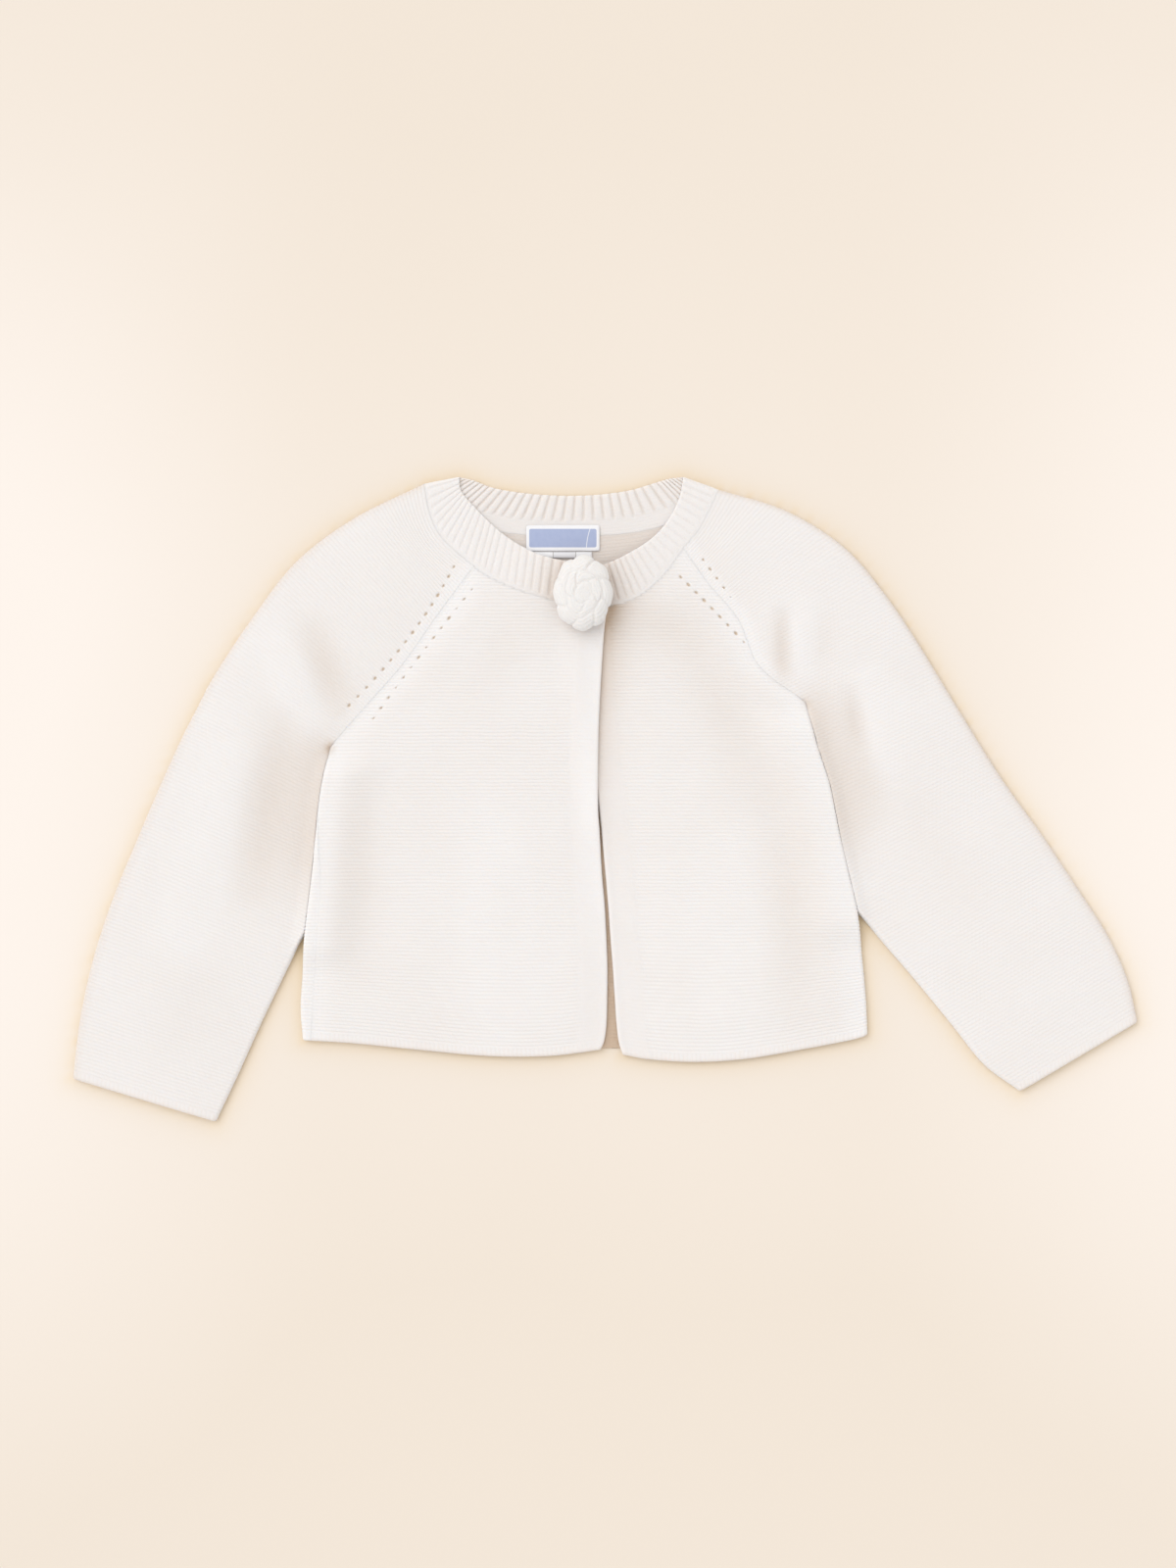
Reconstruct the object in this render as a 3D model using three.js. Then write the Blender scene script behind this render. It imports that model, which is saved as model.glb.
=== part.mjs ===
// A baby's raglan cardigan in fine links knit, laid flat on its back with its front up.
// Millimetres, +Z up. The cloth rests on z = 0, +Y points to the neck and -X to the wearer's right.
// Every piece is a wall of cloth: a grid of outer points, the same grid moved in by the wall, and edges.
import * as THREE from "three";

// Driving dimensions
const WALL = 2.0; // thickness of the knitted cloth
const GAP = 0.3; // clearance between pieces at a seam and between two layers
const FOLD_RADIUS = WALL + GAP / 2; // outer radius where the cloth folds flat on itself
const QUARTER = (FOLD_RADIUS * Math.PI) / 2; // cloth in a quarter of such a fold
const SEAM_SHIFT = 0.23; // each side of a slanted seam draws back this far along X
const SEAM_GAP = 0.62; // clearance along the cloth at a seam that turns round the side
const CURL_LENGTH = 15; // stretch above an armpit over which the seam turns down into the side
const TUCK_LIFT = 2 * WALL + 2 * GAP; // the body's side rises this far over the tucked sleeve
const OVERLAP_LIFT = WALL + 2 * GAP; // the right front rises this far over the left one
const NECK_RISE = 4.2; // the front neck stands this far off the back
const BAND_ARC = { rib: 4.2, relief: 0.55, groove: 0.3 }; // rib pitch, height and share of groove
const RAGLAN_ROWS = 10; // rows of cloth along each raglan seam
const BODY_ROWS = 12; // rows from the hem to the armpit
const ARM_STEPS = 2; // rows between two sections of an arm

const CLOTH = { color: 0xf3ede6, roughness: 0.95, metalness: 0 };
const RIB = { color: 0xf1eae2, roughness: 0.95, metalness: 0 };
const PETAL = { color: 0xfbf8f4, roughness: 0.95, metalness: 0 };
const WOVEN = { color: 0xe6e6f0, roughness: 0.7, metalness: 0 };

// Sections of each sleeve from the neck to the cuff: the outer fold, the front edge and the back edge.
// From the armpit on, the two edges meet in the underarm seam. puff is the height of the upper layer's swell.
const SLEEVE_RIGHT_SECTIONS = [
  { outer: [-95.9, 167.2], front: [-69.4, 123.5], back: [-78.8, 148.5], puff: 0.3 },
  { outer: [-132.9, 149.0], front: [-88.7, 97.5], back: [-93.9, 119.9], puff: 1.6 },
  { outer: [-163.5, 126.1], front: [-107.9, 70.5], back: [-110.5, 88.7], puff: 2.2 },
  { outer: [-188.5, 93.9], front: [-127.7, 48.1], back: [-128.2, 60.0], puff: 2.4 },
  { outer: [-209.0, 62.5], front: [-145.9, 27.3], back: [-145.9, 27.3], puff: 2.4 },
  { outer: [-216.0, 49.0], front: [-149.0, 16.0], back: [-149.0, 16.0], puff: 2.4 },
  { outer: [-224.9, 31.5], front: [-150.0, -5.0], back: [-150.0, -5.0], puff: 2.2 },
  { outer: [-240.5, -3.4], front: [-153.7, -40.0], back: [-153.7, -40.0], puff: 1.8 },
  { outer: [-249.0, -23.5], front: [-156.8, -62.0], back: [-156.8, -62.0], puff: 1.8 },
  { outer: [-256.1, -40.3], front: [-162.0, -76.5], back: [-162.0, -76.5], puff: 1.7 },
  { outer: [-264.9, -63.7], front: [-172.0, -97.5], back: [-172.0, -97.5], puff: 1.6 },
  { outer: [-272.7, -89.7], front: [-183.0, -120.5], back: [-183.0, -120.5], puff: 1.5 },
  { outer: [-278.5, -117.8], front: [-194.0, -145.0], back: [-194.0, -145.0], puff: 1.4 },
  { outer: [-282.1, -147.9], front: [-206.2, -170.8], back: [-206.2, -170.8], puff: 1.2 },
];
const SLEEVE_LEFT_SECTIONS = [
  { outer: [60.1, 164.1], front: [41.3, 132.9], back: [44.5, 150.0], puff: 0.3 },
  { outer: [96.0, 152.8], front: [54.5, 114.3], back: [60.6, 127.7], puff: 1.4 },
  { outer: [127.5, 132.8], front: [70.2, 95.4], back: [77.0, 102.0], puff: 2.2 },
  { outer: [149.5, 107.0], front: [81.5, 70.5], back: [92.0, 76.0], puff: 2.6 },
  { outer: [167.7, 79.8], front: [106.3, 51.2], back: [106.3, 51.2], puff: 2.6 },
  { outer: [174.0, 69.4], front: [110.3, 39.0], back: [110.3, 39.0], puff: 2.5 },
  { outer: [188.5, 45.5], front: [116.3, 12.0], back: [116.3, 12.0], puff: 2.3 },
  { outer: [209.3, 12.2], front: [124.9, -31.0], back: [124.9, -31.0], puff: 2.0 },
  { outer: [220.0, -3.0], front: [130.2, -52.0], back: [130.2, -52.0], puff: 1.9 },
  { outer: [230.1, -16.9], front: [138.7, -65.6], back: [138.7, -65.6], puff: 1.8 },
  { outer: [250.9, -48.1], front: [164.3, -96.0], back: [164.3, -96.0], puff: 1.7 },
  { outer: [266.5, -72.5], front: [183.8, -119.8], back: [183.8, -119.8], puff: 1.6 },
  { outer: [276.9, -95.9], front: [200.9, -140.8], back: [200.9, -140.8], puff: 1.4 },
  { outer: [282.1, -117.8], front: [219.7, -154.7], back: [219.7, -154.7], puff: 1.2 },
];
const ARMPIT_SECTION = 4;

// Sides of the body from the armpit to the hem. seam is where the side seam lies, along the cloth
// from the folded edge: positive on the upper layer, negative underneath.
const SIDE_RIGHT = [
  { y: 27.3, x: -145.9, seam: 0 },
  { y: 13.3, x: -149.0, seam: 0 },
  { y: -2.3, x: -151.6, seam: 1 },
  { y: -23.1, x: -153.7, seam: 3.5 },
  { y: -43.9, x: -155.7, seam: 6.5 },
  { y: -69.9, x: -158.9, seam: 7.8 },
  { y: -95.9, x: -160.7, seam: 7.8 },
  { y: -111.5, x: -161.5, seam: 7.8 },
  { y: -127.6, x: -160.2, seam: 5.5 },
];
const SIDE_LEFT = [
  { y: 51.2, x: 106.3, seam: 0 },
  { y: 28.9, x: 112.1, seam: -0.5 },
  { y: 8.1, x: 118.8, seam: -2.5 },
  { y: -17.9, x: 124.0, seam: -6 },
  { y: -38.7, x: 128.7, seam: -8 },
  { y: -59.5, x: 133.4, seam: -8 },
  { y: -85.5, x: 136.5, seam: -8 },
  { y: -111.5, x: 138.6, seam: -8 },
  { y: -125.0, x: 139.0, seam: -6 },
];

// Front edges of the two fronts from the neck to the hem
const EDGE_RIGHT = [
  { y: 102.2, x: 1.3 },
  { y: 91.3, x: -0.3 },
  { y: 70.5, x: -1.8 },
  { y: 39.3, x: -3.4 },
  { y: 8.1, x: -3.9 },
  { y: -7.0, x: -3.7 },
  { y: -15.3, x: -3.1 },
  { y: -39.3, x: -1.7 },
  { y: -55.4, x: -0.3 },
  { y: -69.9, x: 0.5 },
  { y: -88.0, x: 1.2 },
  { y: -104.8, x: 1.1 },
  { y: -119.3, x: 0.7 },
  { y: -128.0, x: -0.5 },
  { y: -132.5, x: -2.4 },
];
const EDGE_LEFT = [
  { y: 101.7, x: -12.7 },
  { y: 60.1, x: -10.7 },
  { y: 18.5, x: -6.4 },
  { y: -5.0, x: -3.3 },
  { y: -15.3, x: -2.1 },
  { y: -39.3, x: 0.1 },
  { y: -55.4, x: 1.5 },
  { y: -74.1, x: 2.8 },
  { y: -89.2, x: 4.0 },
  { y: -104.8, x: 5.0 },
  { y: -119.3, x: 6.0 },
  { y: -129.0, x: 7.3 },
  { y: -135.2, x: 9.3 },
];

// Hems from the wearer's right to the left
const HEM_RIGHT = [
  { x: -160.2, y: -127.6 },
  { x: -133.9, y: -129.2 },
  { x: -102.7, y: -132.3 },
  { x: -61.1, y: -136.0 },
  { x: -29.9, y: -136.0 },
  { x: -12.0, y: -134.0 },
  { x: -2.4, y: -132.5 },
];
const HEM_LEFT = [
  { x: 9.3, y: -135.2 },
  { x: 22.1, y: -137.6 },
  { x: 48.1, y: -139.1 },
  { x: 74.1, y: -137.5 },
  { x: 105.3, y: -132.3 },
  { x: 131.3, y: -127.3 },
  { x: 139.0, y: -125.0 },
];
const HEM_BACK = [
  { x: -160.2, y: -127.6 },
  { x: -102.7, y: -129.8 },
  { x: -40.0, y: -131.5 },
  { x: 20.0, y: -132.0 },
  { x: 80.0, y: -131.0 },
  { x: 139.0, y: -125.0 },
];

// The neck, from above: the seam where the band is linked on and the band's free edge
const NECK_SEAM_RIGHT = [
  { x: -95.9, y: 167.2 },
  { x: -93.3, y: 152.6 },
  { x: -88.1, y: 140.7 },
  { x: -79.8, y: 131.8 },
  { x: -69.4, y: 123.5 },
  { x: -61.1, y: 117.6 },
  { x: -49.1, y: 112.2 },
  { x: -37.7, y: 108.1 },
  { x: -24.7, y: 104.8 },
  { x: -9.1, y: 102.7 },
  { x: 1.3, y: 102.2 },
];
const NECK_FREE_RIGHT = [
  { x: -77.2, y: 170.8 },
  { x: -76.7, y: 164.6 },
  { x: -74.1, y: 160.2 },
  { x: -69.3, y: 154.9 },
  { x: -62.6, y: 148.0 },
  { x: -55.0, y: 141.2 },
  { x: -45.8, y: 134.9 },
  { x: -35.1, y: 129.7 },
  { x: -22.1, y: 126.1 },
  { x: -9.1, y: 124.0 },
  { x: 1.3, y: 123.0 },
];
const NECK_SEAM_LEFT = [
  { x: 60.1, y: 164.1 },
  { x: 55.4, y: 153.7 },
  { x: 49.1, y: 142.2 },
  { x: 41.3, y: 132.9 },
  { x: 32.5, y: 120.8 },
  { x: 22.1, y: 110.5 },
  { x: 11.7, y: 104.7 },
  { x: -0.5, y: 102.1 },
  { x: -12.7, y: 101.7 },
];
const NECK_FREE_LEFT = [
  { x: 41.3, y: 170.8 },
  { x: 39.8, y: 161.5 },
  { x: 35.6, y: 151.6 },
  { x: 28.9, y: 142.2 },
  { x: 20.8, y: 135.3 },
  { x: 11.9, y: 130.0 },
  { x: 4.4, y: 126.1 },
  { x: -3.9, y: 123.2 },
  { x: -12.7, y: 121.9 },
];
const NECK_SEAM_BACK = [
  { x: -95.9, y: 167.2 },
  { x: -88.1, y: 156.3 },
  { x: -78.8, y: 148.5 },
  { x: -61.1, y: 142.7 },
  { x: -40.3, y: 140.1 },
  { x: -19.5, y: 139.6 },
  { x: 1.3, y: 140.1 },
  { x: 22.1, y: 142.7 },
  { x: 44.5, y: 150.0 },
  { x: 52.3, y: 156.3 },
  { x: 60.1, y: 164.1 },
];
const NECK_FREE_BACK = [
  { x: -77.2, y: 170.8 },
  { x: -69.5, y: 168.9 },
  { x: -61.1, y: 165.6 },
  { x: -47.5, y: 162.9 },
  { x: -32.9, y: 161.4 },
  { x: -17.3, y: 160.9 },
  { x: -1.3, y: 161.7 },
  { x: 14.0, y: 164.0 },
  { x: 27.9, y: 168.2 },
  { x: 34.6, y: 170.0 },
  { x: 41.3, y: 170.8 },
];

// Soft folds of the upper layer: a straight run, its half width and its height (below zero is a trough)
const FOLDS = [
  { from: [94.5, 98.0], to: [95.0, 63.0], width: 6, height: -1.7 },
  { from: [104.0, 100.0], to: [106.5, 70.0], width: 7, height: 1.0 },
  { from: [116.0, 92.0], to: [112.0, 70.0], width: 8, height: -1.2 },
  { from: [128.7, 54.0], to: [136.5, 25.0], width: 9, height: -1.5 },
  { from: [142.0, 60.0], to: [150.0, 20.0], width: 10, height: 1.1 },
  { from: [160.0, 10.0], to: [196.0, -60.0], width: 13, height: -0.9 },
  { from: [-154.0, 87.0], to: [-139.5, 49.0], width: 9, height: -1.4 },
  { from: [-170.0, 80.0], to: [-158.0, 40.0], width: 11, height: 0.9 },
  { from: [-169.0, 39.0], to: [-185.0, -44.0], width: 13, height: -1.3 },
  { from: [-200.0, 20.0], to: [-222.0, -70.0], width: 14, height: 0.8 },
  { from: [-206.0, -90.0], to: [-232.0, -140.0], width: 13, height: -0.7 },
  { from: [16.0, 100.0], to: [43.0, 86.0], width: 12, height: -1.1 },
  { from: [43.0, 86.0], to: [82.0, 8.0], width: 16, height: -0.9 },
  { from: [95.0, 8.0], to: [104.0, -110.0], width: 15, height: -0.8 },
  { from: [60.0, -30.0], to: [66.0, -120.0], width: 18, height: 0.7 },
  { from: [-46.0, 100.0], to: [-62.0, 60.0], width: 13, height: -0.9 },
  { from: [-98.0, 30.0], to: [-112.0, -90.0], width: 18, height: -0.7 },
  { from: [-60.0, -20.0], to: [-52.0, -120.0], width: 18, height: 0.6 },
];
const FRONT_PUFF = 1.5;

const clamp01 = (value) => Math.min(1, Math.max(0, value));
const mix = (a, b, share) => a + (b - a) * share;

// Goes from 0 to 1 as value goes from start to end, level at both ends
function ease(start, end, value) {
  const share = clamp01((value - start) / (end - start));
  return share * share * (3 - 2 * share);
}

// A smooth curve through a table's rows, read by an even share of its rows
function rowCurve(points) {
  const corners = points.map(([x, y]) => new THREE.Vector3(x, y, 0));
  return new THREE.CatmullRomCurve3(corners, false, "centripetal");
}

const tableCurve = (table) => rowCurve(table.map((row) => [row.x, row.y]));

// One column of a table at a given value of another column, along a smooth curve
function column(table, key, from) {
  const rising = table[table.length - 1][from] > table[0][from];
  return (at) => {
    let i = 0;
    while (i < table.length - 2 && (rising ? at > table[i + 1][from] : at < table[i + 1][from])) i += 1;
    const slopeAt = (k) => {
      const low = table[Math.max(0, k - 1)];
      const high = table[Math.min(table.length - 1, k + 1)];
      return (high[key] - low[key]) / (high[from] - low[from]);
    };
    const span = table[i + 1][from] - table[i][from];
    const s = clamp01((at - table[i][from]) / span);
    const rise = table[i + 1][key] - table[i][key];
    const bend = s * (1 - s) * ((1 - s) * (slopeAt(i) * span - rise) - s * (slopeAt(i + 1) * span - rise));
    return table[i][key] + rise * s + bend;
  };
}

const sideX = { right: column(SIDE_RIGHT, "x", "y"), left: column(SIDE_LEFT, "x", "y") };
const sideSeam = { right: column(SIDE_RIGHT, "seam", "y"), left: column(SIDE_LEFT, "seam", "y") };
const edgeX = { right: column(EDGE_RIGHT, "x", "y"), left: column(EDGE_LEFT, "x", "y") };

// Cross-section of a folded edge. arc runs along the cloth from the outermost point, positive over
// the top and negative underneath; along is the plan distance from that point, height is above z = 0.
function roundFold(arc, depth) {
  const radius = FOLD_RADIUS - depth;
  if (arc >= QUARTER) return { along: FOLD_RADIUS + arc - QUARTER, height: FOLD_RADIUS + radius };
  if (arc <= -QUARTER) return { along: FOLD_RADIUS - arc - QUARTER, height: FOLD_RADIUS - radius };
  const angle = arc / FOLD_RADIUS;
  return {
    along: FOLD_RADIUS - radius * Math.cos(angle),
    height: FOLD_RADIUS + radius * Math.sin(angle),
  };
}

// Arc at which the outer face of the fold has come in by a plan distance
function arcAlong(along) {
  return along >= FOLD_RADIUS
    ? QUARTER + along - FOLD_RADIUS
    : FOLD_RADIUS * Math.acos(1 - along / FOLD_RADIUS);
}

// Where a seam lies in a turn, the inner face ends this much further from it, so the ends stay apart
function seamBevel(start, depth) {
  return depth > 0 ? FOLD_RADIUS * (1 - ease(0.8 * QUARTER, 1.5 * QUARTER, Math.abs(start))) : 0;
}

// Rise of the body's sides over the sleeves that are tucked beneath them
function tuckRise(x, y) {
  const right = ease(27.3, 11, y) * ease(-94, -76, y) * (1 - ease(8, 34, x - sideX.right(y)));
  const left = ease(51.2, 35, y) * ease(-82, -62, y) * (1 - ease(8, 34, sideX.left(y) - x));
  return TUCK_LIFT * Math.max(right, left);
}

// Rise of the right front and its end of the neckband over the left front
function overlapRise(x, y) {
  const edge = edgeX.left(Math.min(y, EDGE_LEFT[0].y));
  return OVERLAP_LIFT * ease(edge - 15, edge - 1, x) * ease(-34, -10, y);
}

// Rise of the whole front neck
function neckRise(x, y) {
  const across = (x + 12) / 40;
  const down = (y - 118) / 27;
  return NECK_RISE * Math.exp(-across * across - down * down);
}

// Height of the soft folds at a place, summed over the table
function foldRise(x, y) {
  let sum = 0;
  for (const { from, to, width, height } of FOLDS) {
    const run = [to[0] - from[0], to[1] - from[1]];
    const length2 = run[0] * run[0] + run[1] * run[1];
    const share = clamp01(((x - from[0]) * run[0] + (y - from[1]) * run[1]) / length2);
    const away = Math.hypot(x - from[0] - run[0] * share, y - from[1] - run[1] * share);
    sum += height * Math.exp(-((away / width) ** 2));
  }
  return sum;
}

// A closed wall of cloth from a grid: point(row, col, depth) is read with depth 0 and the wall
function clothWall(rows, cols, point, wall = WALL) {
  const positions = [];
  for (const depth of [0, wall]) {
    for (let i = 0; i <= rows; i += 1) {
      for (let j = 0; j <= cols; j += 1) positions.push(...point(i, j, depth));
    }
  }
  const at = (i, j, layer) => layer * (rows + 1) * (cols + 1) + i * (cols + 1) + j;
  const index = [];
  const quad = (a, b, c, d) => index.push(a, b, c, a, c, d);
  for (let i = 0; i < rows; i += 1) {
    for (let j = 0; j < cols; j += 1) {
      quad(at(i, j, 0), at(i, j + 1, 0), at(i + 1, j + 1, 0), at(i + 1, j, 0));
      quad(at(i, j, 1), at(i + 1, j, 1), at(i + 1, j + 1, 1), at(i, j + 1, 1));
    }
  }
  for (let j = 0; j < cols; j += 1) {
    quad(at(0, j, 1), at(0, j + 1, 1), at(0, j + 1, 0), at(0, j, 0));
    quad(at(rows, j, 0), at(rows, j + 1, 0), at(rows, j + 1, 1), at(rows, j, 1));
  }
  for (let i = 0; i < rows; i += 1) {
    quad(at(i, 0, 0), at(i + 1, 0, 0), at(i + 1, 0, 1), at(i, 0, 1));
    quad(at(i, cols, 1), at(i + 1, cols, 1), at(i + 1, cols, 0), at(i, cols, 0));
  }
  return outward(positions, index);
}

// Turns the faces round if the body they enclose has a negative volume
function outward(positions, index) {
  let volume = 0;
  const corner = (k) => new THREE.Vector3().fromArray(positions, 3 * k);
  for (let k = 0; k < index.length; k += 3) {
    const [a, b, c] = [corner(index[k]), corner(index[k + 1]), corner(index[k + 2])];
    volume += a.dot(b.cross(c));
  }
  const facing = volume < 0 ? index.slice().reverse() : index;
  const geometry = new THREE.BufferGeometry();
  geometry.setAttribute("position", new THREE.Float32BufferAttribute(positions, 3));
  geometry.setIndex(facing);
  geometry.computeVertexNormals();
  return geometry;
}

// Rows of a body panel from the hem to the neck, as shares: below the armpit, then up the raglan
const PANEL_ROWS = BODY_ROWS + RAGLAN_ROWS;
const sleeveSections = { right: SLEEVE_RIGHT_SECTIONS, left: SLEEVE_LEFT_SECTIONS };
const raglanCurve = (side, edge) =>
  rowCurve(sleeveSections[side].slice(0, ARMPIT_SECTION + 1).map((section) => section[edge]));
const raglan = {
  right: { front: raglanCurve("right", "front"), back: raglanCurve("right", "back") },
  left: { front: raglanCurve("left", "front"), back: raglanCurve("left", "back") },
};

// How far the raglan edge has opened from the folded side to flat, by its length above the armpit
function openArc(point, armpit) {
  return QUARTER * ease(0, CURL_LENGTH, Math.hypot(point.x - armpit[0], point.y - armpit[1]));
}

// The side end of a panel's row: where it is, and its arc round the folded edge
function sideEnd(side, layer, row) {
  const inward = side === "right" ? 1 : -1;
  const sign = layer === "front" ? 1 : -1;
  const table = side === "right" ? SIDE_RIGHT : SIDE_LEFT;
  if (row <= BODY_ROWS) {
    const y = mix(table[table.length - 1].y, table[0].y, row / BODY_ROWS);
    const start = sideSeam[side](y) + (sign * SEAM_GAP) / 2;
    const fold = sideX[side](y) + inward * SEAM_SHIFT;
    return { y, start, fold, edge: fold };
  }
  const point = raglan[side][layer].getPoint(1 - (row - BODY_ROWS) / RAGLAN_ROWS);
  const arc = openArc(point, sleeveSections[side][ARMPIT_SECTION].front);
  const start = sign * (arc + SEAM_GAP / 2);
  const edge = point.x + inward * SEAM_SHIFT;
  return { y: point.y, start, edge, fold: edge - inward * roundFold(start, 0).along };
}

// Plan distances from the folded side at which both layers have a column, past the turn itself
const SIDE_COLUMNS = [8, 14, 20, 27, 35];
// Plan distances from a front edge at which a front has a column
const EDGE_COLUMNS = [28, 22, 17, 12, 7, 3, 0];

// Arc of a column, from the seam round the turn, past the shared side columns, to a reach from the fold
function sideArc({ col, turnCols, start, sign, reach, depth }) {
  const turned = sign * arcAlong(SIDE_COLUMNS[0]);
  const first = start + sign * seamBevel(start, depth);
  if (col <= turnCols) return mix(first, turned, col / turnCols);
  if (col < turnCols + SIDE_COLUMNS.length) return sign * arcAlong(SIDE_COLUMNS[col - turnCols]);
  return sign * arcAlong(reach);
}

// Bends a straight row of a panel onto its hem and its neck seam. dips gives the two curves' distances
// from the straight end rows at a share of the way across.
function bowedRow(straight, row, share, dips) {
  const up = clamp01((row - BODY_ROWS) / RAGLAN_ROWS);
  return straight + (1 - ease(0, 3, row)) * dips.hem(share) + ease(0.45, 1, up) ** 2 * dips.neck(share);
}

// Distance of a curve from the chord between two ends, at a share of the way across
function dipBetween(start, end, heightAt) {
  return (share) => heightAt(mix(start.x, end.x, share)) - mix(start.y, end.y, share);
}

// The neck seam's height along Y at a place across
const neckSeamY = {
  right: column(NECK_SEAM_RIGHT.slice(4), "y", "x"),
  left: column(NECK_SEAM_LEFT.slice(0, 9), "y", "x"),
  back: column(NECK_SEAM_BACK.slice(2, 9), "y", "x"),
};
const hemY = {
  right: column(HEM_RIGHT, "y", "x"),
  left: column(HEM_LEFT, "y", "x"),
  back: column(HEM_BACK, "y", "x"),
};

// A front: from its side, over the folded edge, to its front edge
function frontPanel(side) {
  const inward = side === "right" ? 1 : -1;
  const turnCols = side === "right" ? 5 : 11;
  const middleCols = 4;
  const cols = turnCols + SIDE_COLUMNS.length - 1 + middleCols + EDGE_COLUMNS.length - 1;
  const sideTable = side === "right" ? SIDE_RIGHT : SIDE_LEFT;
  const edgeTable = side === "right" ? EDGE_RIGHT : EDGE_LEFT;
  const [edgeTop, edgeBottom] = [edgeTable[0], edgeTable[edgeTable.length - 1]];
  const hemEnd = sideTable[sideTable.length - 1];
  const raglanTop = sleeveSections[side][0].front;
  const dips = {
    hem: dipBetween(hemEnd, edgeBottom, hemY[side]),
    neck: dipBetween({ x: raglanTop[0], y: raglanTop[1] }, edgeTop, (x) => neckSeamY[side](x) - SEAM_SHIFT),
  };
  const covered = side === "right" ? 0 : EDGE_RIGHT[0].x - EDGE_LEFT[0].x;
  return clothWall(PANEL_ROWS, cols, (row, col, depth) => {
    const end = sideEnd(side, "front", row);
    const up = clamp01((row - BODY_ROWS) / RAGLAN_ROWS);
    const waist = sideTable[0].y;
    const centreY = row <= BODY_ROWS ? mix(edgeBottom.y, waist, row / BODY_ROWS) : mix(waist, edgeTop.y, up);
    const centreX = edgeX[side](centreY);
    const reach = Math.abs(centreX - end.fold);
    const fromSide = SIDE_COLUMNS[SIDE_COLUMNS.length - 1] * Math.min(1, reach / 70);
    const fromEdge = EDGE_COLUMNS[0] * Math.min(1, reach / 70);
    const lastSide = turnCols + SIDE_COLUMNS.length - 1;
    const toEdge = col - lastSide - middleCols;
    let arc = sideArc({ col, turnCols, start: end.start, sign: 1, reach, depth });
    if (toEdge >= 0) {
      arc = arcAlong(reach - EDGE_COLUMNS[toEdge] * (fromEdge / EDGE_COLUMNS[0]));
    } else if (col >= lastSide) {
      arc = arcAlong(mix(fromSide, reach - fromEdge, (col - lastSide) / middleCols));
    } else if (reach < 70 && col > turnCols) {
      arc = arcAlong(mix(SIDE_COLUMNS[0], fromSide, (col - turnCols) / (SIDE_COLUMNS.length - 1)));
    }
    const { along, height } = roundFold(arc, depth);
    const x = end.fold + inward * along;
    const share = clamp01((x - end.edge) / (centreX - end.edge));
    const y = bowedRow(mix(end.y, centreY, share), row, share, dips);
    const upper = ease(0, 2 * QUARTER, arc);
    const edgeFade = ease(covered, covered + 20, Math.abs(centreX - x));
    const fade = ease(0, 22, along) * edgeFade * (1 - ease(0.7, 1, up)) * ease(0, 2, row);
    let z = height + tuckRise(x, y) + upper * neckRise(x, y);
    z += upper * Math.max(0, (FRONT_PUFF + foldRise(x, y)) * fade);
    if (side === "right") z += overlapRise(x, y);
    return [x, y, z];
  });
}

// The back: from the right side seam, underneath, to the left side seam
function backPanel() {
  const turnCols = { right: 10, left: 5 };
  const middleCols = 4;
  const sideCols = SIDE_COLUMNS.length - 1;
  const cols = turnCols.right + turnCols.left + 2 * sideCols + middleCols;
  const hemEnds = [SIDE_RIGHT[SIDE_RIGHT.length - 1], SIDE_LEFT[SIDE_LEFT.length - 1]];
  const tops = ["right", "left"].map((side) => sleeveSections[side][0].back);
  const [topRight, topLeft] = tops.map(([x, y]) => ({ x, y }));
  const dips = {
    hem: dipBetween(...hemEnds, hemY.back),
    neck: dipBetween(topRight, topLeft, (x) => neckSeamY.back(x) - SEAM_SHIFT),
  };
  return clothWall(PANEL_ROWS, cols, (row, col, depth) => {
    const ends = { right: sideEnd("right", "back", row), left: sideEnd("left", "back", row) };
    const width = ends.left.fold - ends.right.fold;
    const firstMiddle = turnCols.right + sideCols;
    const side = col < firstMiddle + middleCols / 2 ? "right" : "left";
    const end = ends[side];
    const fromEnd = side === "right" ? col : cols - col;
    const intoMiddle = fromEnd - turnCols[side] - sideCols;
    const narrow = Math.min(1, width / 140);
    const turn = turnCols[side];
    let arc = sideArc({ col: fromEnd, turnCols: turn, start: end.start, sign: -1, reach: width / 2, depth });
    if (intoMiddle >= 0) {
      const outerReach = SIDE_COLUMNS[sideCols] * narrow;
      arc = -arcAlong(mix(outerReach, width - outerReach, intoMiddle / middleCols));
    } else if (narrow < 1 && fromEnd > turnCols[side]) {
      const shareOut = (fromEnd - turnCols[side]) / sideCols;
      arc = -arcAlong(mix(SIDE_COLUMNS[0], SIDE_COLUMNS[sideCols] * narrow, shareOut));
    }
    const { along, height } = roundFold(arc, depth);
    const x = end.fold + (side === "right" ? along : -along);
    const share = clamp01((x - ends.right.edge) / (ends.left.edge - ends.right.edge));
    const level = row <= BODY_ROWS ? SIDE_COLUMNS[sideCols] : 0;
    const slant = clamp01((x - ends.right.edge - level) / (ends.left.edge - ends.right.edge - 2 * level));
    const y = bowedRow(mix(ends.right.y, ends.left.y, slant), row, share, dips);
    return [x, y, height + tuckRise(x, y)];
  });
}

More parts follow.
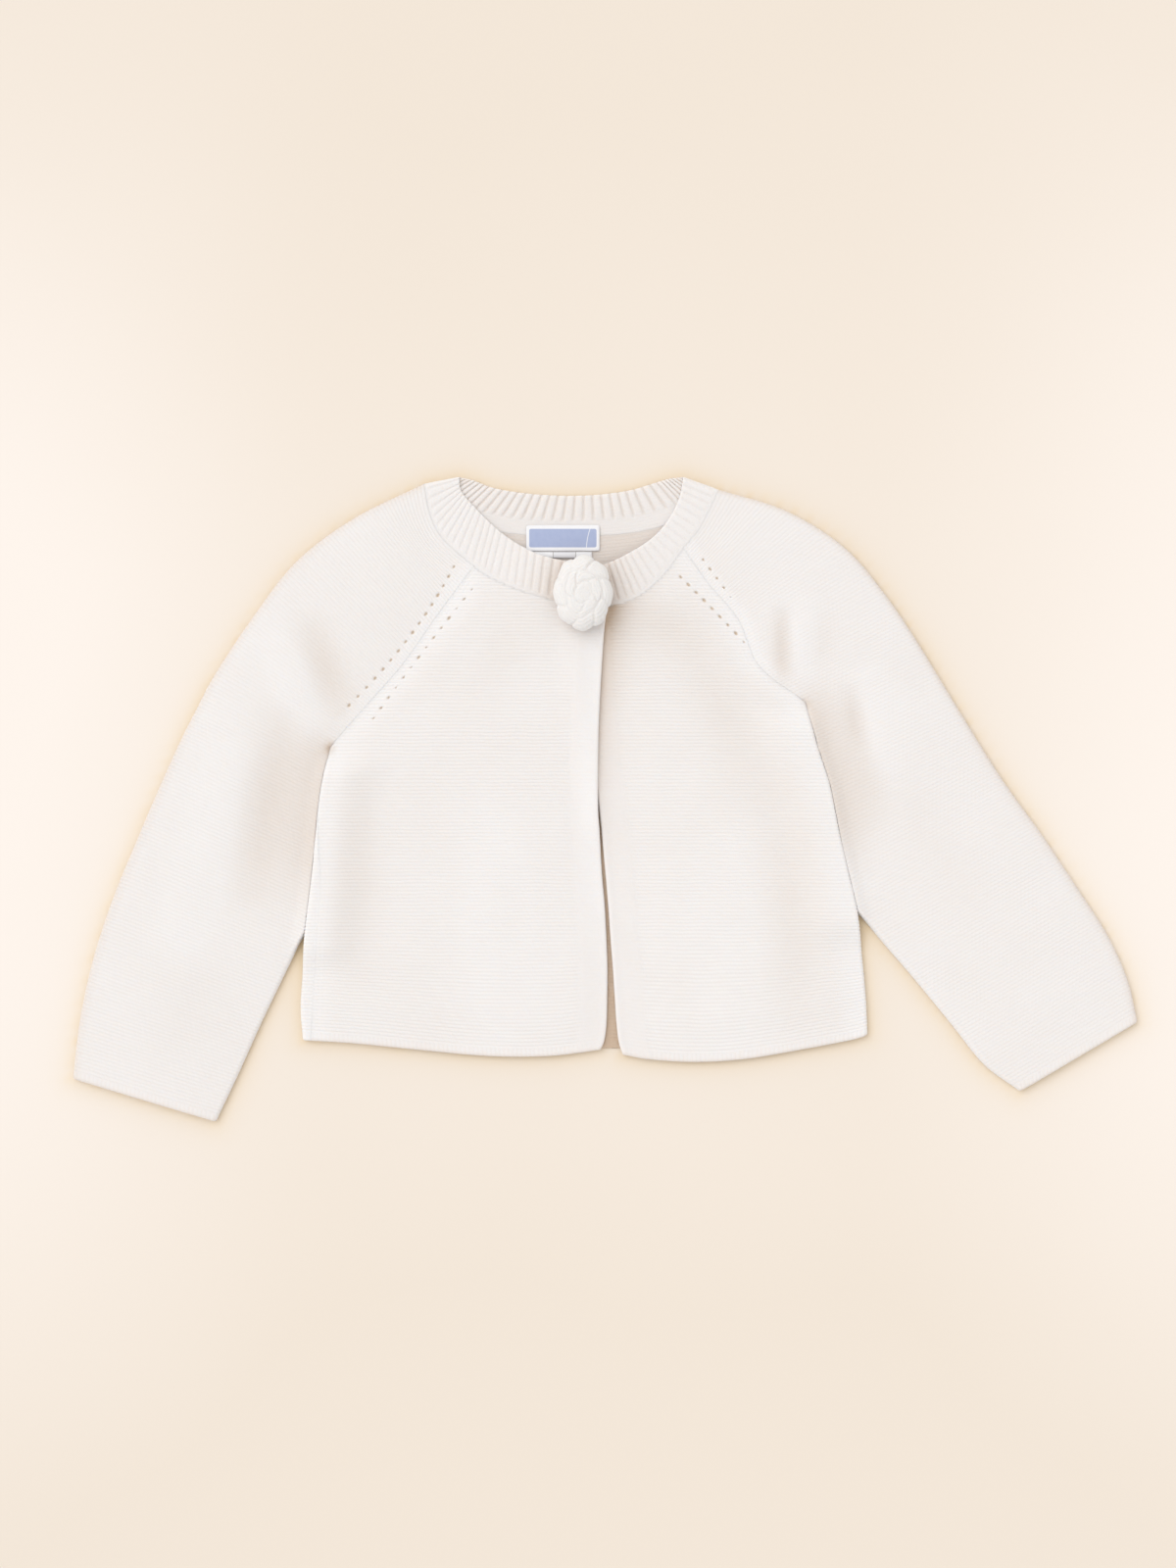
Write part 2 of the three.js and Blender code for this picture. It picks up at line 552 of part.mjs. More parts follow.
// A sleeve: from its front edge, over the outer fold, to its back edge, and round at the underarm
function sleeve(side) {
  const sections = sleeveSections[side];
  const outward2 = side === "right" ? -1 : 1;
  const curves = {
    outer: rowCurve(sections.map((section) => section.outer)),
    front: rowCurve(sections.map((section) => section.front)),
    back: rowCurve(sections.map((section) => section.back)),
  };
  const neckTop = tableCurve(side === "right" ? NECK_SEAM_RIGHT.slice(0, 5) : NECK_SEAM_LEFT.slice(0, 4));
  const backSeam = side === "right" ? NECK_SEAM_BACK.slice(0, 3) : NECK_SEAM_BACK.slice(8).reverse();
  const neckBack = tableCurve(backSeam);
  const last = sections.length - 1;
  const rows = RAGLAN_ROWS + (last - ARMPIT_SECTION) * ARM_STEPS;
  const counts = { front: 3, top: 7, fold: 5, under: 3, back: 3 };
  const cols = counts.front + counts.top + counts.fold + counts.under + counts.back;
  const armpit = sections[ARMPIT_SECTION].front;

  // The plan place of a point at a share of the way from the outer fold to an edge
  const across = (edge, place, outer, bow, share) => {
    const seam = edge === "front" ? neckTop : neckBack;
    const seamEnds = [seam.getPoint(0), seam.getPoint(1)];
    const seamPoint = seam.getPoint(clamp01(share));
    const chord = seamEnds[0].clone().lerp(seamEnds[1], clamp01(share));
    return outer.clone().lerp(place, share).add(seamPoint.sub(chord).multiplyScalar(bow));
  };

  return clothWall(rows, cols, (row, col, depth) => {
    const inRaglan = row <= RAGLAN_ROWS;
    const track = inRaglan
      ? (row / RAGLAN_ROWS) * ARMPIT_SECTION
      : ARMPIT_SECTION + (row - RAGLAN_ROWS) / ARM_STEPS;
    const outer = curves.outer.getPoint(track / last);
    const edges = {};
    const starts = {};
    for (const edge of ["front", "back"]) {
      const point = inRaglan ? raglan[side][edge].getPoint(row / RAGLAN_ROWS) : curves[edge].getPoint(track / last);
      const arc = inRaglan ? openArc(point, armpit) : 0;
      starts[edge] = arc + SEAM_GAP / 2;
      point.x += outward2 * SEAM_SHIFT;
      edges[edge] = point;
    }
    const bow = 1 - ease(0, 0.9, track);
    const width = { front: outer.distanceTo(edges.front), back: outer.distanceTo(edges.back) };
    const inner = { front: roundFold(starts.front, 0).along, back: roundFold(starts.back, 0).along };
    const sheet = (edge, arcFromEdge) => {
      const { along, height } = roundFold(arcFromEdge, depth);
      return { edge, reach: width[edge] - (along - inner[edge]), height };
    };
    const flat = (edge) => arcAlong(width[edge] + inner[edge] - FOLD_RADIUS) - starts[edge];
    let at;
    let c = col;
    if (c <= counts.front) {
      const first = seamBevel(starts.front, depth);
      at = sheet("front", starts.front + mix(first, QUARTER, c / counts.front));
    } else if ((c -= counts.front) <= counts.top) {
      at = sheet("front", starts.front + mix(QUARTER, flat("front"), c / counts.top));
    } else if ((c -= counts.top) <= counts.fold) {
      const { along, height } = roundFold(mix(QUARTER, -QUARTER, c / counts.fold), depth);
      at = { edge: c / counts.fold <= 0.5 ? "front" : "back", reach: along, height };
    } else if ((c -= counts.fold) <= counts.under) {
      at = sheet("back", starts.back + mix(flat("back"), QUARTER, c / counts.under));
      at.height = 2 * FOLD_RADIUS - at.height;
    } else {
      c -= counts.under;
      at = sheet("back", starts.back + mix(QUARTER, seamBevel(starts.back, depth), c / counts.back));
      at.height = 2 * FOLD_RADIUS - at.height;
    }
    const place = across(at.edge, edges[at.edge], outer, bow, at.reach / width[at.edge]);
    const upper = ease(FOLD_RADIUS, 2 * FOLD_RADIUS, at.height + depth);
    const share = clamp01(at.reach / width.front);
    const swell = Math.sin(Math.PI * share) ** 0.8 * ease(0, 0.8, track);
    const puff = interpolate(sections, "puff", track);
    let z = at.height;
    if (at.edge === "front") {
      z += upper * Math.max(0, (puff + foldRise(place.x, place.y)) * swell);
      z += upper * neckRise(place.x, place.y);
    }
    return [place.x, place.y, z];
  });
}

// A column of a table at a place between its rows
function interpolate(table, key, track) {
  const low = Math.min(Math.floor(track), table.length - 2);
  return mix(table[low][key], table[low + 1][key], track - low);
}

// The ribbed neckband: from the right front's end, over the right shoulder, round the back and the
// left shoulder, to the left front's end. The ribs are raised on the face that is up.
function neckband() {
  const parts = {
    frontRight: { seam: tableCurve(NECK_SEAM_RIGHT), free: tableCurve(NECK_FREE_RIGHT) },
    frontLeft: { seam: tableCurve(NECK_SEAM_LEFT), free: tableCurve(NECK_FREE_LEFT) },
    back: { seam: tableCurve(NECK_SEAM_BACK), free: tableCurve(NECK_FREE_BACK) },
  };
  const lengthOf = ({ seam, free }) => (seam.getLength() + free.getLength()) / 2;
  const lengths = Object.fromEntries(Object.entries(parts).map(([name, part]) => [name, lengthOf(part)]));
  const turn = QUARTER - FOLD_RADIUS;
  const right = lengths.frontRight + turn;
  const back = lengths.back + 2 * turn;
  const total = right + back + turn + lengths.frontLeft;
  const ribs = Math.round(total / BAND_ARC.rib);
  const marks = [0, 0.5 - BAND_ARC.groove / 2, 0.5 + BAND_ARC.groove / 2];
  const rows = ribs * marks.length;
  const across = 2;
  const inset = 0.04; // share of the band's width that is left free at the neck seam
  const ribStart = { front: 0.08, back: 0.4 }; // share of the width where the ribs rise from the seam

  return clothWall(rows, across, (row, col, depth) => {
    const rib = Math.min(ribs - 1e-9, Math.floor(row / marks.length));
    const run = Math.min(total, ((rib + marks[row % marks.length]) / ribs) * total);
    const length = row === rows ? total : run;
    const onRight = length < right + back / 2;
    const arc = onRight ? right - length : length - right - back;
    const part = arc >= 0 ? (onRight ? "frontRight" : "frontLeft") : "back";
    const raised = row % marks.length === 0 ? 1 : 0;
    const behind = 1 - ease(-14, 4, arc);
    const share = [inset, mix(ribStart.front, ribStart.back, behind), 1][col];
    const level = col === 0 || row === 0 || row === rows ? 0 : 1;
    const ridge = raised * level * BAND_ARC.relief;
    const topFace = ease(-QUARTER * 0.4, QUARTER * 0.4, arc);
    const raise = depth === 0 ? ridge * topFace : -ridge * (1 - topFace);
    const { along, height } = roundFold(arc, depth - raise);
    let f = along / lengths[part];
    if (part === "back" && !onRight) f = 1 - f;
    f = clamp01(f);
    const place = parts[part].seam.getPoint(f).lerp(parts[part].free.getPoint(f), share);
    const upper = ease(-QUARTER, 2 * QUARTER, arc);
    let z = height + upper * neckRise(place.x, place.y);
    if (part === "frontRight") z += upper * overlapRise(place.x, place.y);
    return [place.x, place.y, z];
  });
}

// A flat strip that lies on the back's inside, from one corner to the other
function strip({ from, to, height, wall, steps }) {
  return clothWall(
    steps,
    steps,
    (row, col, depth) => {
      const x = mix(from[0], to[0], col / steps);
      const y = mix(from[1], to[1], row / steps);
      const sag = 0.35 * Math.sin((Math.PI * col) / steps) * Math.sin((Math.PI * row) / steps);
      return [x, y, height + wall - depth + sag];
    },
    wall,
  );
}

// The crochet rosette: two rings of petals round a bud, over a flat foot
const FLOWER = {
  centre: [-11.7, 108.6],
  halfWidth: 15.4,
  halfLength: 19.6,
  foot: 11.55,
  height: 13.2,
  petals: 7,
};

function rosette() {
  const { centre, halfWidth, halfLength, foot, height, petals } = FLOWER;
  const around = 56;
  const profile = [
    { reach: 0.0, level: 0.86, lobe: 0 },
    { reach: 0.16, level: 1.0, lobe: 0.1 },
    { reach: 0.3, level: 0.9, lobe: 0.3 },
    { reach: 0.4, level: 0.72, lobe: 0.5 },
    { reach: 0.52, level: 0.84, lobe: 0.7 },
    { reach: 0.7, level: 0.76, lobe: 0.9 },
    { reach: 0.86, level: 0.55, lobe: 1 },
    { reach: 0.97, level: 0.34, lobe: 1 },
    { reach: 1.0, level: 0.2, lobe: 1 },
    { reach: 0.9, level: 0.06, lobe: 0.8 },
    { reach: 0.72, level: 0.0, lobe: 0.4 },
    { reach: 0.0, level: 0.0, lobe: 0 },
  ];
  const positions = [];
  const index = [];
  const rings = profile.slice(1, -1);
  positions.push(centre[0], centre[1], foot + height * profile[0].level);
  for (const { reach, level, lobe } of rings) {
    for (let k = 0; k < around; k += 1) {
      const angle = (2 * Math.PI * k) / around;
      const wave = Math.abs(Math.sin((petals * angle) / 2)) ** 0.7;
      const size = reach * (1 - 0.16 * lobe * (1 - wave));
      const lift = level * (1 - 0.22 * lobe * (1 - wave));
      positions.push(
        centre[0] + halfWidth * size * Math.cos(angle),
        centre[1] + halfLength * size * Math.sin(angle),
        foot + height * lift,
      );
    }
  }
  positions.push(centre[0], centre[1], foot);
  const bottom = positions.length / 3 - 1;
  for (let k = 0; k < around; k += 1) {
    const next = (k + 1) % around;
    index.push(0, 1 + k, 1 + next);
    for (let ring = 0; ring < rings.length - 1; ring += 1) {
      const low = 1 + ring * around;
      const high = low + around;
      index.push(low + k, high + k, high + next, low + k, high + next, low + next);
    }
    const lastRing = 1 + (rings.length - 1) * around;
    index.push(lastRing + k, bottom, lastRing + next);
  }
  return outward(positions, index);
}

const LABEL = { from: [-41.9, 131.4], to: [-2.9, 145.2], height: 2.35, wall: 1.0, steps: 4 };
const SIZE_TAB = { from: [-40.3, 127.6], to: [-7.0, 131.0], height: 2.35, wall: 1.0, steps: 3 };

const cardigan = new THREE.Group();
function addPiece(name, geometry, look) {
  const mesh = new THREE.Mesh(geometry, new THREE.MeshStandardMaterial(look));
  mesh.name = name;
  cardigan.add(mesh);
}
addPiece("back", backPanel(), CLOTH);
addPiece("front_right", frontPanel("right"), CLOTH);
addPiece("front_left", frontPanel("left"), CLOTH);
addPiece("sleeve_right", sleeve("right"), CLOTH);
addPiece("sleeve_left", sleeve("left"), CLOTH);
addPiece("neckband", neckband(), RIB);
addPiece("flower_button", rosette(), PETAL);
addPiece("neck_label", strip(LABEL), WOVEN);
addPiece("size_tab", strip(SIZE_TAB), WOVEN);

export default cardigan;
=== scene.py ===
"""Baby's raglan cardigan in fine links knit, laid flat on its back with its front up.

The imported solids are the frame. Each knitted solid is replaced by a finer wall of cloth with the same
form: the purl ridges, ribs, eyelets and soft folds are in the mesh, and stitches and fibres in the
materials. Lengths in the tables are millimetres, as in the part's source, and meshes are in metres.
+Z is up, +Y points to the neck and -X to the wearer's right.
"""
import math

import bpy
import numpy as np
from bpy.props import FloatProperty, FloatVectorProperty, PointerProperty
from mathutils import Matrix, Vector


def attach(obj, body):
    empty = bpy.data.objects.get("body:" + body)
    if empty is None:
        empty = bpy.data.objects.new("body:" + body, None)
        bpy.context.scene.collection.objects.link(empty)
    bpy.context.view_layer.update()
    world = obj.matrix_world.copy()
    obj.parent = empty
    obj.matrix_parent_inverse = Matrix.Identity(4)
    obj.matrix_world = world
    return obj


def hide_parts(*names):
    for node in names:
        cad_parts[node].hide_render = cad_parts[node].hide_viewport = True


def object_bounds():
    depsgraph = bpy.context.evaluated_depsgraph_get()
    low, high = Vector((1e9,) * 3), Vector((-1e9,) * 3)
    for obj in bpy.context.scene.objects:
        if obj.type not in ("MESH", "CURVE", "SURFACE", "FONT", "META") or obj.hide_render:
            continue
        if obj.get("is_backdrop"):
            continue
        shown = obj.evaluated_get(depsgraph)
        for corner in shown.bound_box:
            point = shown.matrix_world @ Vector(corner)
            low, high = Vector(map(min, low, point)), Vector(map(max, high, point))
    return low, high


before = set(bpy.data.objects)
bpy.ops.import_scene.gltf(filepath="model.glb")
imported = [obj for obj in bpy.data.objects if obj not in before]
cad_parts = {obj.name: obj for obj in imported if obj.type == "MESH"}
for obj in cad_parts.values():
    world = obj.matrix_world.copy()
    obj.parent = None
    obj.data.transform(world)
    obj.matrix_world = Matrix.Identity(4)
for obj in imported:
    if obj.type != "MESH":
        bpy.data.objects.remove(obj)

bl_info = {
    "name": "Baby Cardigan Laid Flat",
    "version": (1, 0, 0),
    "blender": (4, 5, 0),
    "location": "View3D > Sidebar > Cardigan",
    "description": "Knitted baby cardigan in fine links knit, laid flat, built round its packed solids",
    "category": "Object",
}

MM = 0.001
PHOTO_HEIGHT, PHOTO_CENTRE = 0.832, (-0.0091, 0.0081)  # what the camera sees of the floor, in metres
WALL = 2.0  # thickness of the knitted cloth
GAP = 0.3  # clearance between two layers
FOLD_RADIUS = WALL + GAP / 2  # outer radius where the cloth folds flat on itself
QUARTER = FOLD_RADIUS * math.pi / 2  # cloth in a quarter of such a fold
SEAM_LAP = 0.15  # each side of a seam runs this far past its line, so that no slit shows
SEAM_GROOVE = 0.05  # share of a quarter round that the faces dip at a seam
TUCK_UNDER = 2.2  # the sleeve's inner edge runs this much further beneath the body's side
TUCK_BULGE = 2.8  # the sleeve swells this far against the fold of the body's side
# Heights between which a sleeve is tucked beneath the body: where it sets in, is full, thins and ends
TUCK_SPAN = {"right": (27.3, 11, -94, -76), "left": (51.2, 35, -82, -62)}
TUCK_FADE = {"right": (-75, -20), "left": (-50, 0)}  # heights over which the painted shade on the sleeve beside the body sets in
CURL_LENGTH = 7.0  # stretch above an armpit over which the seam turns down into the side
TUCK_LIFT = 2 * WALL + 2 * GAP  # the body's side rises this far over the tucked sleeve
OVERLAP_LIFT = WALL + 2 * GAP  # the right front rises this far over the left one
NECK_RISE = 4.2  # the front neck stands this far off the back
FRONT_PUFF = 1.5  # the fronts swell this far off the back
ARMPIT_SECTION = 4
ROWS_PER_RIDGE = 4  # rows of the mesh in one purl ridge
BASE_PAINTED_SHADE = 0.08  # painted shade of the level cloth; painted light takes it off at the sides, the front band and the raglans
RIDGE_SHARE = {"right": 1.0, "left": 0.5}  # the left sleeve is stretched a little, so its ridges are flatter
INWARD = {"right": 1, "left": -1}  # direction along X from each side to the middle
FRONT_BED, BACK_BED = -132.0, -130.0  # first rows of the fronts and of the back
BACK_TOP = 148.9  # last row of the back
HEM_BLEND = 70  # rows bend onto the hem over this height
RIM_TICKS = (3.6, 4.6)  # the cast-off rim gives way to the knit between these distances
FRONT_BAND = 15.2  # width of the plain front band
BAND_WIDTH = 21  # width of the neckband
FAR = 3.0  # distances to eyelets stop here
OPEN_CLOTH = 9.0  # a distance past which seams and edges have no effect
TAPE_THICKNESS = 1.0

# Sections of each sleeve from the neck to the cuff: the outer fold, the front edge, the back edge,
# and the height of the upper layer's swell
SLEEVES = {
    "right": [
        ((-95.9, 167.2), (-69.4, 123.5), (-78.8, 148.5), 0.3),
        ((-132.9, 149.0), (-88.7, 97.5), (-93.9, 119.9), 1.6),
        ((-163.5, 126.1), (-107.9, 70.5), (-110.5, 88.7), 2.2),
        ((-188.5, 93.9), (-127.7, 48.1), (-128.2, 60.0), 2.4),
        ((-209.0, 62.5), (-145.9, 27.3), (-145.9, 27.3), 2.4),
        ((-216.0, 49.0), (-149.0, 16.0), (-149.0, 16.0), 2.4),
        ((-224.9, 31.5), (-150.0, -5.0), (-150.0, -5.0), 2.2),
        ((-240.5, -3.4), (-153.7, -40.0), (-153.7, -40.0), 1.8),
        ((-249.0, -23.5), (-156.8, -62.0), (-156.8, -62.0), 1.8),
        ((-256.1, -40.3), (-162.0, -76.5), (-162.0, -76.5), 1.7),
        ((-264.9, -63.7), (-172.0, -97.5), (-172.0, -97.5), 1.6),
        ((-272.7, -89.7), (-183.0, -120.5), (-183.0, -120.5), 1.5),
        ((-278.5, -117.8), (-194.0, -145.0), (-194.0, -145.0), 1.4),
        ((-282.1, -147.9), (-206.2, -170.8), (-206.2, -170.8), 1.2),
    ],
    "left": [
        ((60.1, 164.1), (41.3, 132.9), (44.5, 150.0), 0.3),
        ((96.0, 152.8), (54.5, 114.3), (60.6, 127.7), 1.4),
        ((127.5, 132.8), (70.2, 95.4), (77.0, 102.0), 2.2),
        ((149.5, 107.0), (81.5, 70.5), (92.0, 76.0), 2.6),
        ((167.7, 79.8), (106.3, 51.2), (106.3, 51.2), 2.6),
        ((174.0, 69.4), (110.3, 39.0), (110.3, 39.0), 2.5),
        ((188.5, 45.5), (116.3, 12.0), (116.3, 12.0), 2.3),
        ((209.3, 12.2), (124.9, -31.0), (124.9, -31.0), 2.0),
        ((220.0, -3.0), (130.2, -52.0), (130.2, -52.0), 1.9),
        ((230.1, -16.9), (138.7, -65.6), (138.7, -65.6), 1.8),
        ((250.9, -48.1), (164.3, -96.0), (164.3, -96.0), 1.7),
        ((266.5, -72.5), (183.8, -119.8), (183.8, -119.8), 1.6),
        ((276.9, -95.9), (200.9, -140.8), (200.9, -140.8), 1.4),
        ((282.1, -117.8), (219.7, -154.7), (219.7, -154.7), 1.2),
    ],
}
# Sides of the body from the armpit to the hem: y, x, and where the side seam lies along the cloth
# from the folded edge, positive on the upper layer
SIDES = {
    "right": [
        (27.3, -145.9, 0), (13.3, -149.0, 0), (-2.3, -151.6, 1), (-23.1, -153.7, 3.5), (-43.9, -155.7, 6.5),
        (-69.9, -158.9, 7.8), (-95.9, -160.7, 7.8), (-111.5, -161.5, 7.8), (-127.6, -160.2, 5.5),
    ],
    "left": [
        (51.2, 106.3, 0), (28.9, 112.1, -0.5), (8.1, 118.8, -2.5), (-17.9, 124.0, -6), (-38.7, 128.7, -8),
        (-59.5, 133.4, -8), (-85.5, 136.5, -8), (-111.5, 138.6, -8), (-125.0, 139.0, -6),
    ],
}
# Front edges of the two fronts from the neck to the hem: y, x
EDGES = {
    "right": [
        (102.2, 1.3), (91.3, -0.3), (70.5, -1.8), (39.3, -3.4), (8.1, -3.9), (-7.0, -3.7), (-15.3, -3.1),
        (-39.3, -1.7), (-55.4, -0.3), (-69.9, 0.5), (-88.0, 1.2), (-104.8, 1.1), (-119.3, 0.7),
        (-128.0, -0.5), (-132.5, -2.4),
    ],
    "left": [
        (101.7, -12.7), (60.1, -10.7), (18.5, -6.4), (-5.0, -3.3), (-15.3, -2.1), (-39.3, 0.1), (-55.4, 1.5),
        (-74.1, 2.8), (-89.2, 4.0), (-104.8, 5.0), (-119.3, 6.0), (-129.0, 7.3), (-135.2, 9.3),
    ],
}
# Hems from the wearer's right to the left: x, y
HEMS = {
    "right": [
        (-160.2, -127.6), (-133.9, -129.2), (-102.7, -132.3), (-61.1, -136.0), (-29.9, -136.0),
        (-12.0, -134.0), (-2.4, -132.5),
    ],
    "left": [
        (9.3, -135.2), (22.1, -137.6), (48.1, -139.1), (74.1, -137.5), (105.3, -132.3), (131.3, -127.3),
        (139.0, -125.0),
    ],
    "back": [
        (-160.2, -127.6), (-102.7, -129.8), (-40.0, -131.5), (20.0, -132.0), (80.0, -131.0), (139.0, -125.0),
    ],
}
# The neck from above: the seam where the band is linked on, and the band's free edge
NECK_SEAMS = {
    "right": [
        (-95.9, 167.2), (-93.3, 152.6), (-88.1, 140.7), (-79.8, 131.8), (-69.4, 123.5), (-61.1, 117.6),
        (-49.1, 112.2), (-37.7, 108.1), (-24.7, 104.8), (-9.1, 102.7), (1.3, 102.2),
    ],
    "left": [
        (60.1, 164.1), (55.4, 153.7), (49.1, 142.2), (41.3, 132.9), (32.5, 120.8), (22.1, 110.5),
        (11.7, 104.7), (-0.5, 102.1), (-12.7, 101.7),
    ],
    "back": [
        (-95.9, 167.2), (-88.1, 156.3), (-78.8, 148.5), (-61.1, 142.7), (-40.3, 140.1), (-19.5, 139.6),
        (1.3, 140.1), (22.1, 142.7), (44.5, 150.0), (52.3, 156.3), (60.1, 164.1),
    ],
}
NECK_EDGES = {
    "right": [
        (-77.2, 170.8), (-76.7, 164.6), (-74.1, 160.2), (-69.3, 154.9), (-62.6, 148.0), (-55.0, 141.2),
        (-45.8, 134.9), (-35.1, 129.7), (-22.1, 126.1), (-9.1, 124.0), (1.3, 123.0),
    ],
    "left": [
        (41.3, 170.8), (39.8, 161.5), (35.6, 151.6), (28.9, 142.2), (20.8, 135.3), (11.9, 130.0),
        (4.4, 126.1), (-3.9, 123.2), (-12.7, 121.9),
    ],
    "back": [
        (-77.2, 170.8), (-69.5, 168.9), (-61.1, 165.6), (-47.5, 162.9), (-32.9, 161.4), (-17.3, 160.9),
        (-1.3, 161.7), (14.0, 164.0), (27.9, 168.2), (34.6, 170.0), (41.3, 170.8),
    ],
}
# Soft folds of the upper layer: from, to, half width and height (below zero is a trough)
FOLDS = [
    ((93.7, 96.0), (94.2, 64.0), 5, -2.0), ((104.0, 100.0), (106.5, 70.0), 7, 1.0),
    ((116.0, 92.0), (112.0, 70.0), 8, -0.6), ((129.9, 55.0), (134.8, 31.0), 5.5, -1.3),
    ((132.0, 38.0), (143.0, -6.0), 9, -0.9), ((142.0, 60.0), (150.0, 20.0), 10, 1.1),
    ((160.0, 10.0), (196.0, -60.0), 13, -0.3), ((-154.0, 87.0), (-139.5, 49.0), 10, -1.7),
    ((-170.0, 80.0), (-158.0, 40.0), 11, 0.9), ((-169.0, 39.0), (-185.0, -44.0), 13, -1.7),
    ((-200.0, 20.0), (-222.0, -70.0), 14, 0.8), ((-206.0, -90.0), (-232.0, -140.0), 13, -0.3),
    ((16.0, 100.0), (43.0, 86.0), 12, -0.7), ((43.0, 86.0), (82.0, 8.0), 16, -0.9),
    ((95.0, 8.0), (104.0, -110.0), 15, -0.8), ((60.0, -30.0), (66.0, -120.0), 18, 0.7),
    ((-46.0, 100.0), (-62.0, 60.0), 13, -0.4), ((-132.0, 5.0), (-130.0, -90.0), 14, -0.7),
    ((-60.0, -20.0), (-52.0, -120.0), 18, 0.6),
]
# Lines of eyelets beside the raglan seams: the piece, start, middle, end, how many, how many stay open,
# and how far the wool closes the open ones at most
EYELETS = [
    ("sleeve_right", (-80.1, 123.0), (-103.7, 85.8), (-135.5, 49.7), 16, 16, 0.25),
    ("front_right", (-70.5, 111.0), (-96.7, 77.7), (-122.5, 42.9), 14, 14, 0.55),
    ("front_left", (39.9, 117.6), (69.2, 87.8), (99.6, 54.9), 15, 8, 0.2),
    ("sleeve_left", (51.9, 126.8), (77.3, 92.7), (102.7, 60.1), 15, 3, 0.3),
]
FLOWER = {"centre": (-11.7, 108.6), "half_width": 15.4, "half_length": 19.6, "foot": 11.55, "height": 13.2}
LABEL = {"low": (-41.9, 131.4), "high": (-2.9, 145.2), "bed": 2.35, "corner": 1.3}
SIZE_TAB = {"low": (-40.3, 127.6), "high": (-7.0, 131.0), "bed": 2.35, "corner": 0.4}


def ease(start, end, value):
    """Goes from 0 to 1 as value goes from start to end, level at both ends: 3s^2 - 2s^3."""
    s = np.clip((value - start) / (end - start), 0, 1)
    return s * s * (3 - 2 * s)


def mix(a, b, share):
    return a + (b - a) * share


def bell(distance, width):
    """1 where the distance is 0, falling away on both sides: exp(-(distance / width)^2)."""
    return np.exp(-((distance / width) ** 2))


def curve_through(points):
    """Centripetal Catmull-Rom curve through points, read by an even share of its rows.

    Each span is a cubic whose end slopes weigh the neighbours by the square root of their distances.
    """
    inner = np.array(points, float)
    knots = np.vstack([2 * inner[0] - inner[1], inner, 2 * inner[-1] - inner[-2]])

    def at(share):
        track = np.clip(np.asarray(share, float), 0, 1) * (len(inner) - 1)
        i = np.clip(np.floor(track).astype(int), 0, len(inner) - 2)
        t = (track - i)[..., None]
        a, b, c, d = (knots[i + k] for k in range(4))
        root = lambda p, q: np.maximum(((p - q) ** 2).sum(-1, keepdims=True), 1e-12) ** 0.25
        before, span, after = root(a, b), root(b, c), root(c, d)
        leave = ((b - a) / before - (c - a) / (before + span) + (c - b) / span) * span
        arrive = ((c - b) / span - (d - b) / (span + after) + (d - c) / after) * span
        cubic = 2 * b - 2 * c + leave + arrive
        square = -3 * b + 3 * c - 2 * leave - arrive
        return b + t * (leave + t * (square + t * cubic))

    return at


def column(rows, key=1):
    """Column key of a table as a smooth function of its first: a cubic between rows with mean slopes."""
    table = np.array([row[:3] for row in rows], float)
    table = table[np.argsort(table[:, 0])]
    x, y = table[:, 0], table[:, key]
    slope = np.empty(len(x))
    slope[1:-1] = (y[2:] - y[:-2]) / (x[2:] - x[:-2])
    slope[0], slope[-1] = (y[1] - y[0]) / (x[1] - x[0]), (y[-1] - y[-2]) / (x[-1] - x[-2])

    def at(value):
        i = np.clip(np.searchsorted(x, value) - 1, 0, len(x) - 2)
        span, rise = x[i + 1] - x[i], y[i + 1] - y[i]
        s = np.clip((value - x[i]) / span, 0, 1)
        bend = s * (1 - s) * ((1 - s) * (slope[i] * span - rise) - s * (slope[i + 1] * span - rise))
        return y[i] + rise * s + bend

    return at


def x_along(curve, y):
    """A curve's x at a given y, read from 800 points on it."""
    points = curve(np.linspace(0, 1, 800))
    order = np.argsort(points[:, 1])
    return np.interp(y, points[order, 1], points[order, 0])


def value_noise(x, y, cell, seed):
    """Smooth noise from -1 to 1: random heights on a square lattice, blended with an ease in each cell."""
    lattice = np.random.default_rng(seed).uniform(-1, 1, (64, 64))
    u, v = np.asarray(x) / cell + 17.3, np.asarray(y) / cell + 23.7
    i, j = np.floor(u).astype(int), np.floor(v).astype(int)
    s, t = ease(0, 1, u - i), ease(0, 1, v - j)
    corner = lambda a, b: lattice[(i + a) % 64, (j + b) % 64]
    return mix(mix(corner(0, 0), corner(1, 0), s), mix(corner(0, 1), corner(1, 1), s), t)


side_x = {side: column(SIDES[side]) for side in SIDES}
side_seam = {side: column(SIDES[side], 2) for side in SIDES}
edge_x = {side: column(EDGES[side]) for side in EDGES}
hem_y = {name: column(HEMS[name]) for name in HEMS}
neck_seam = {name: curve_through(NECK_SEAMS[name]) for name in NECK_SEAMS}
neck_edge = {name: curve_through(NECK_EDGES[name]) for name in NECK_EDGES}
neck_y = {
    "right": column(NECK_SEAMS["right"][4:]),
    "left": column(NECK_SEAMS["left"]),
    "back": column(NECK_SEAMS["back"][2:9]),
}
raglan = {
    side: {
        edge: curve_through([row[k] for row in rows[: ARMPIT_SECTION + 1]])
        for k, edge in ((1, "front"), (2, "back"))
    }
    for side, rows in SLEEVES.items()
}


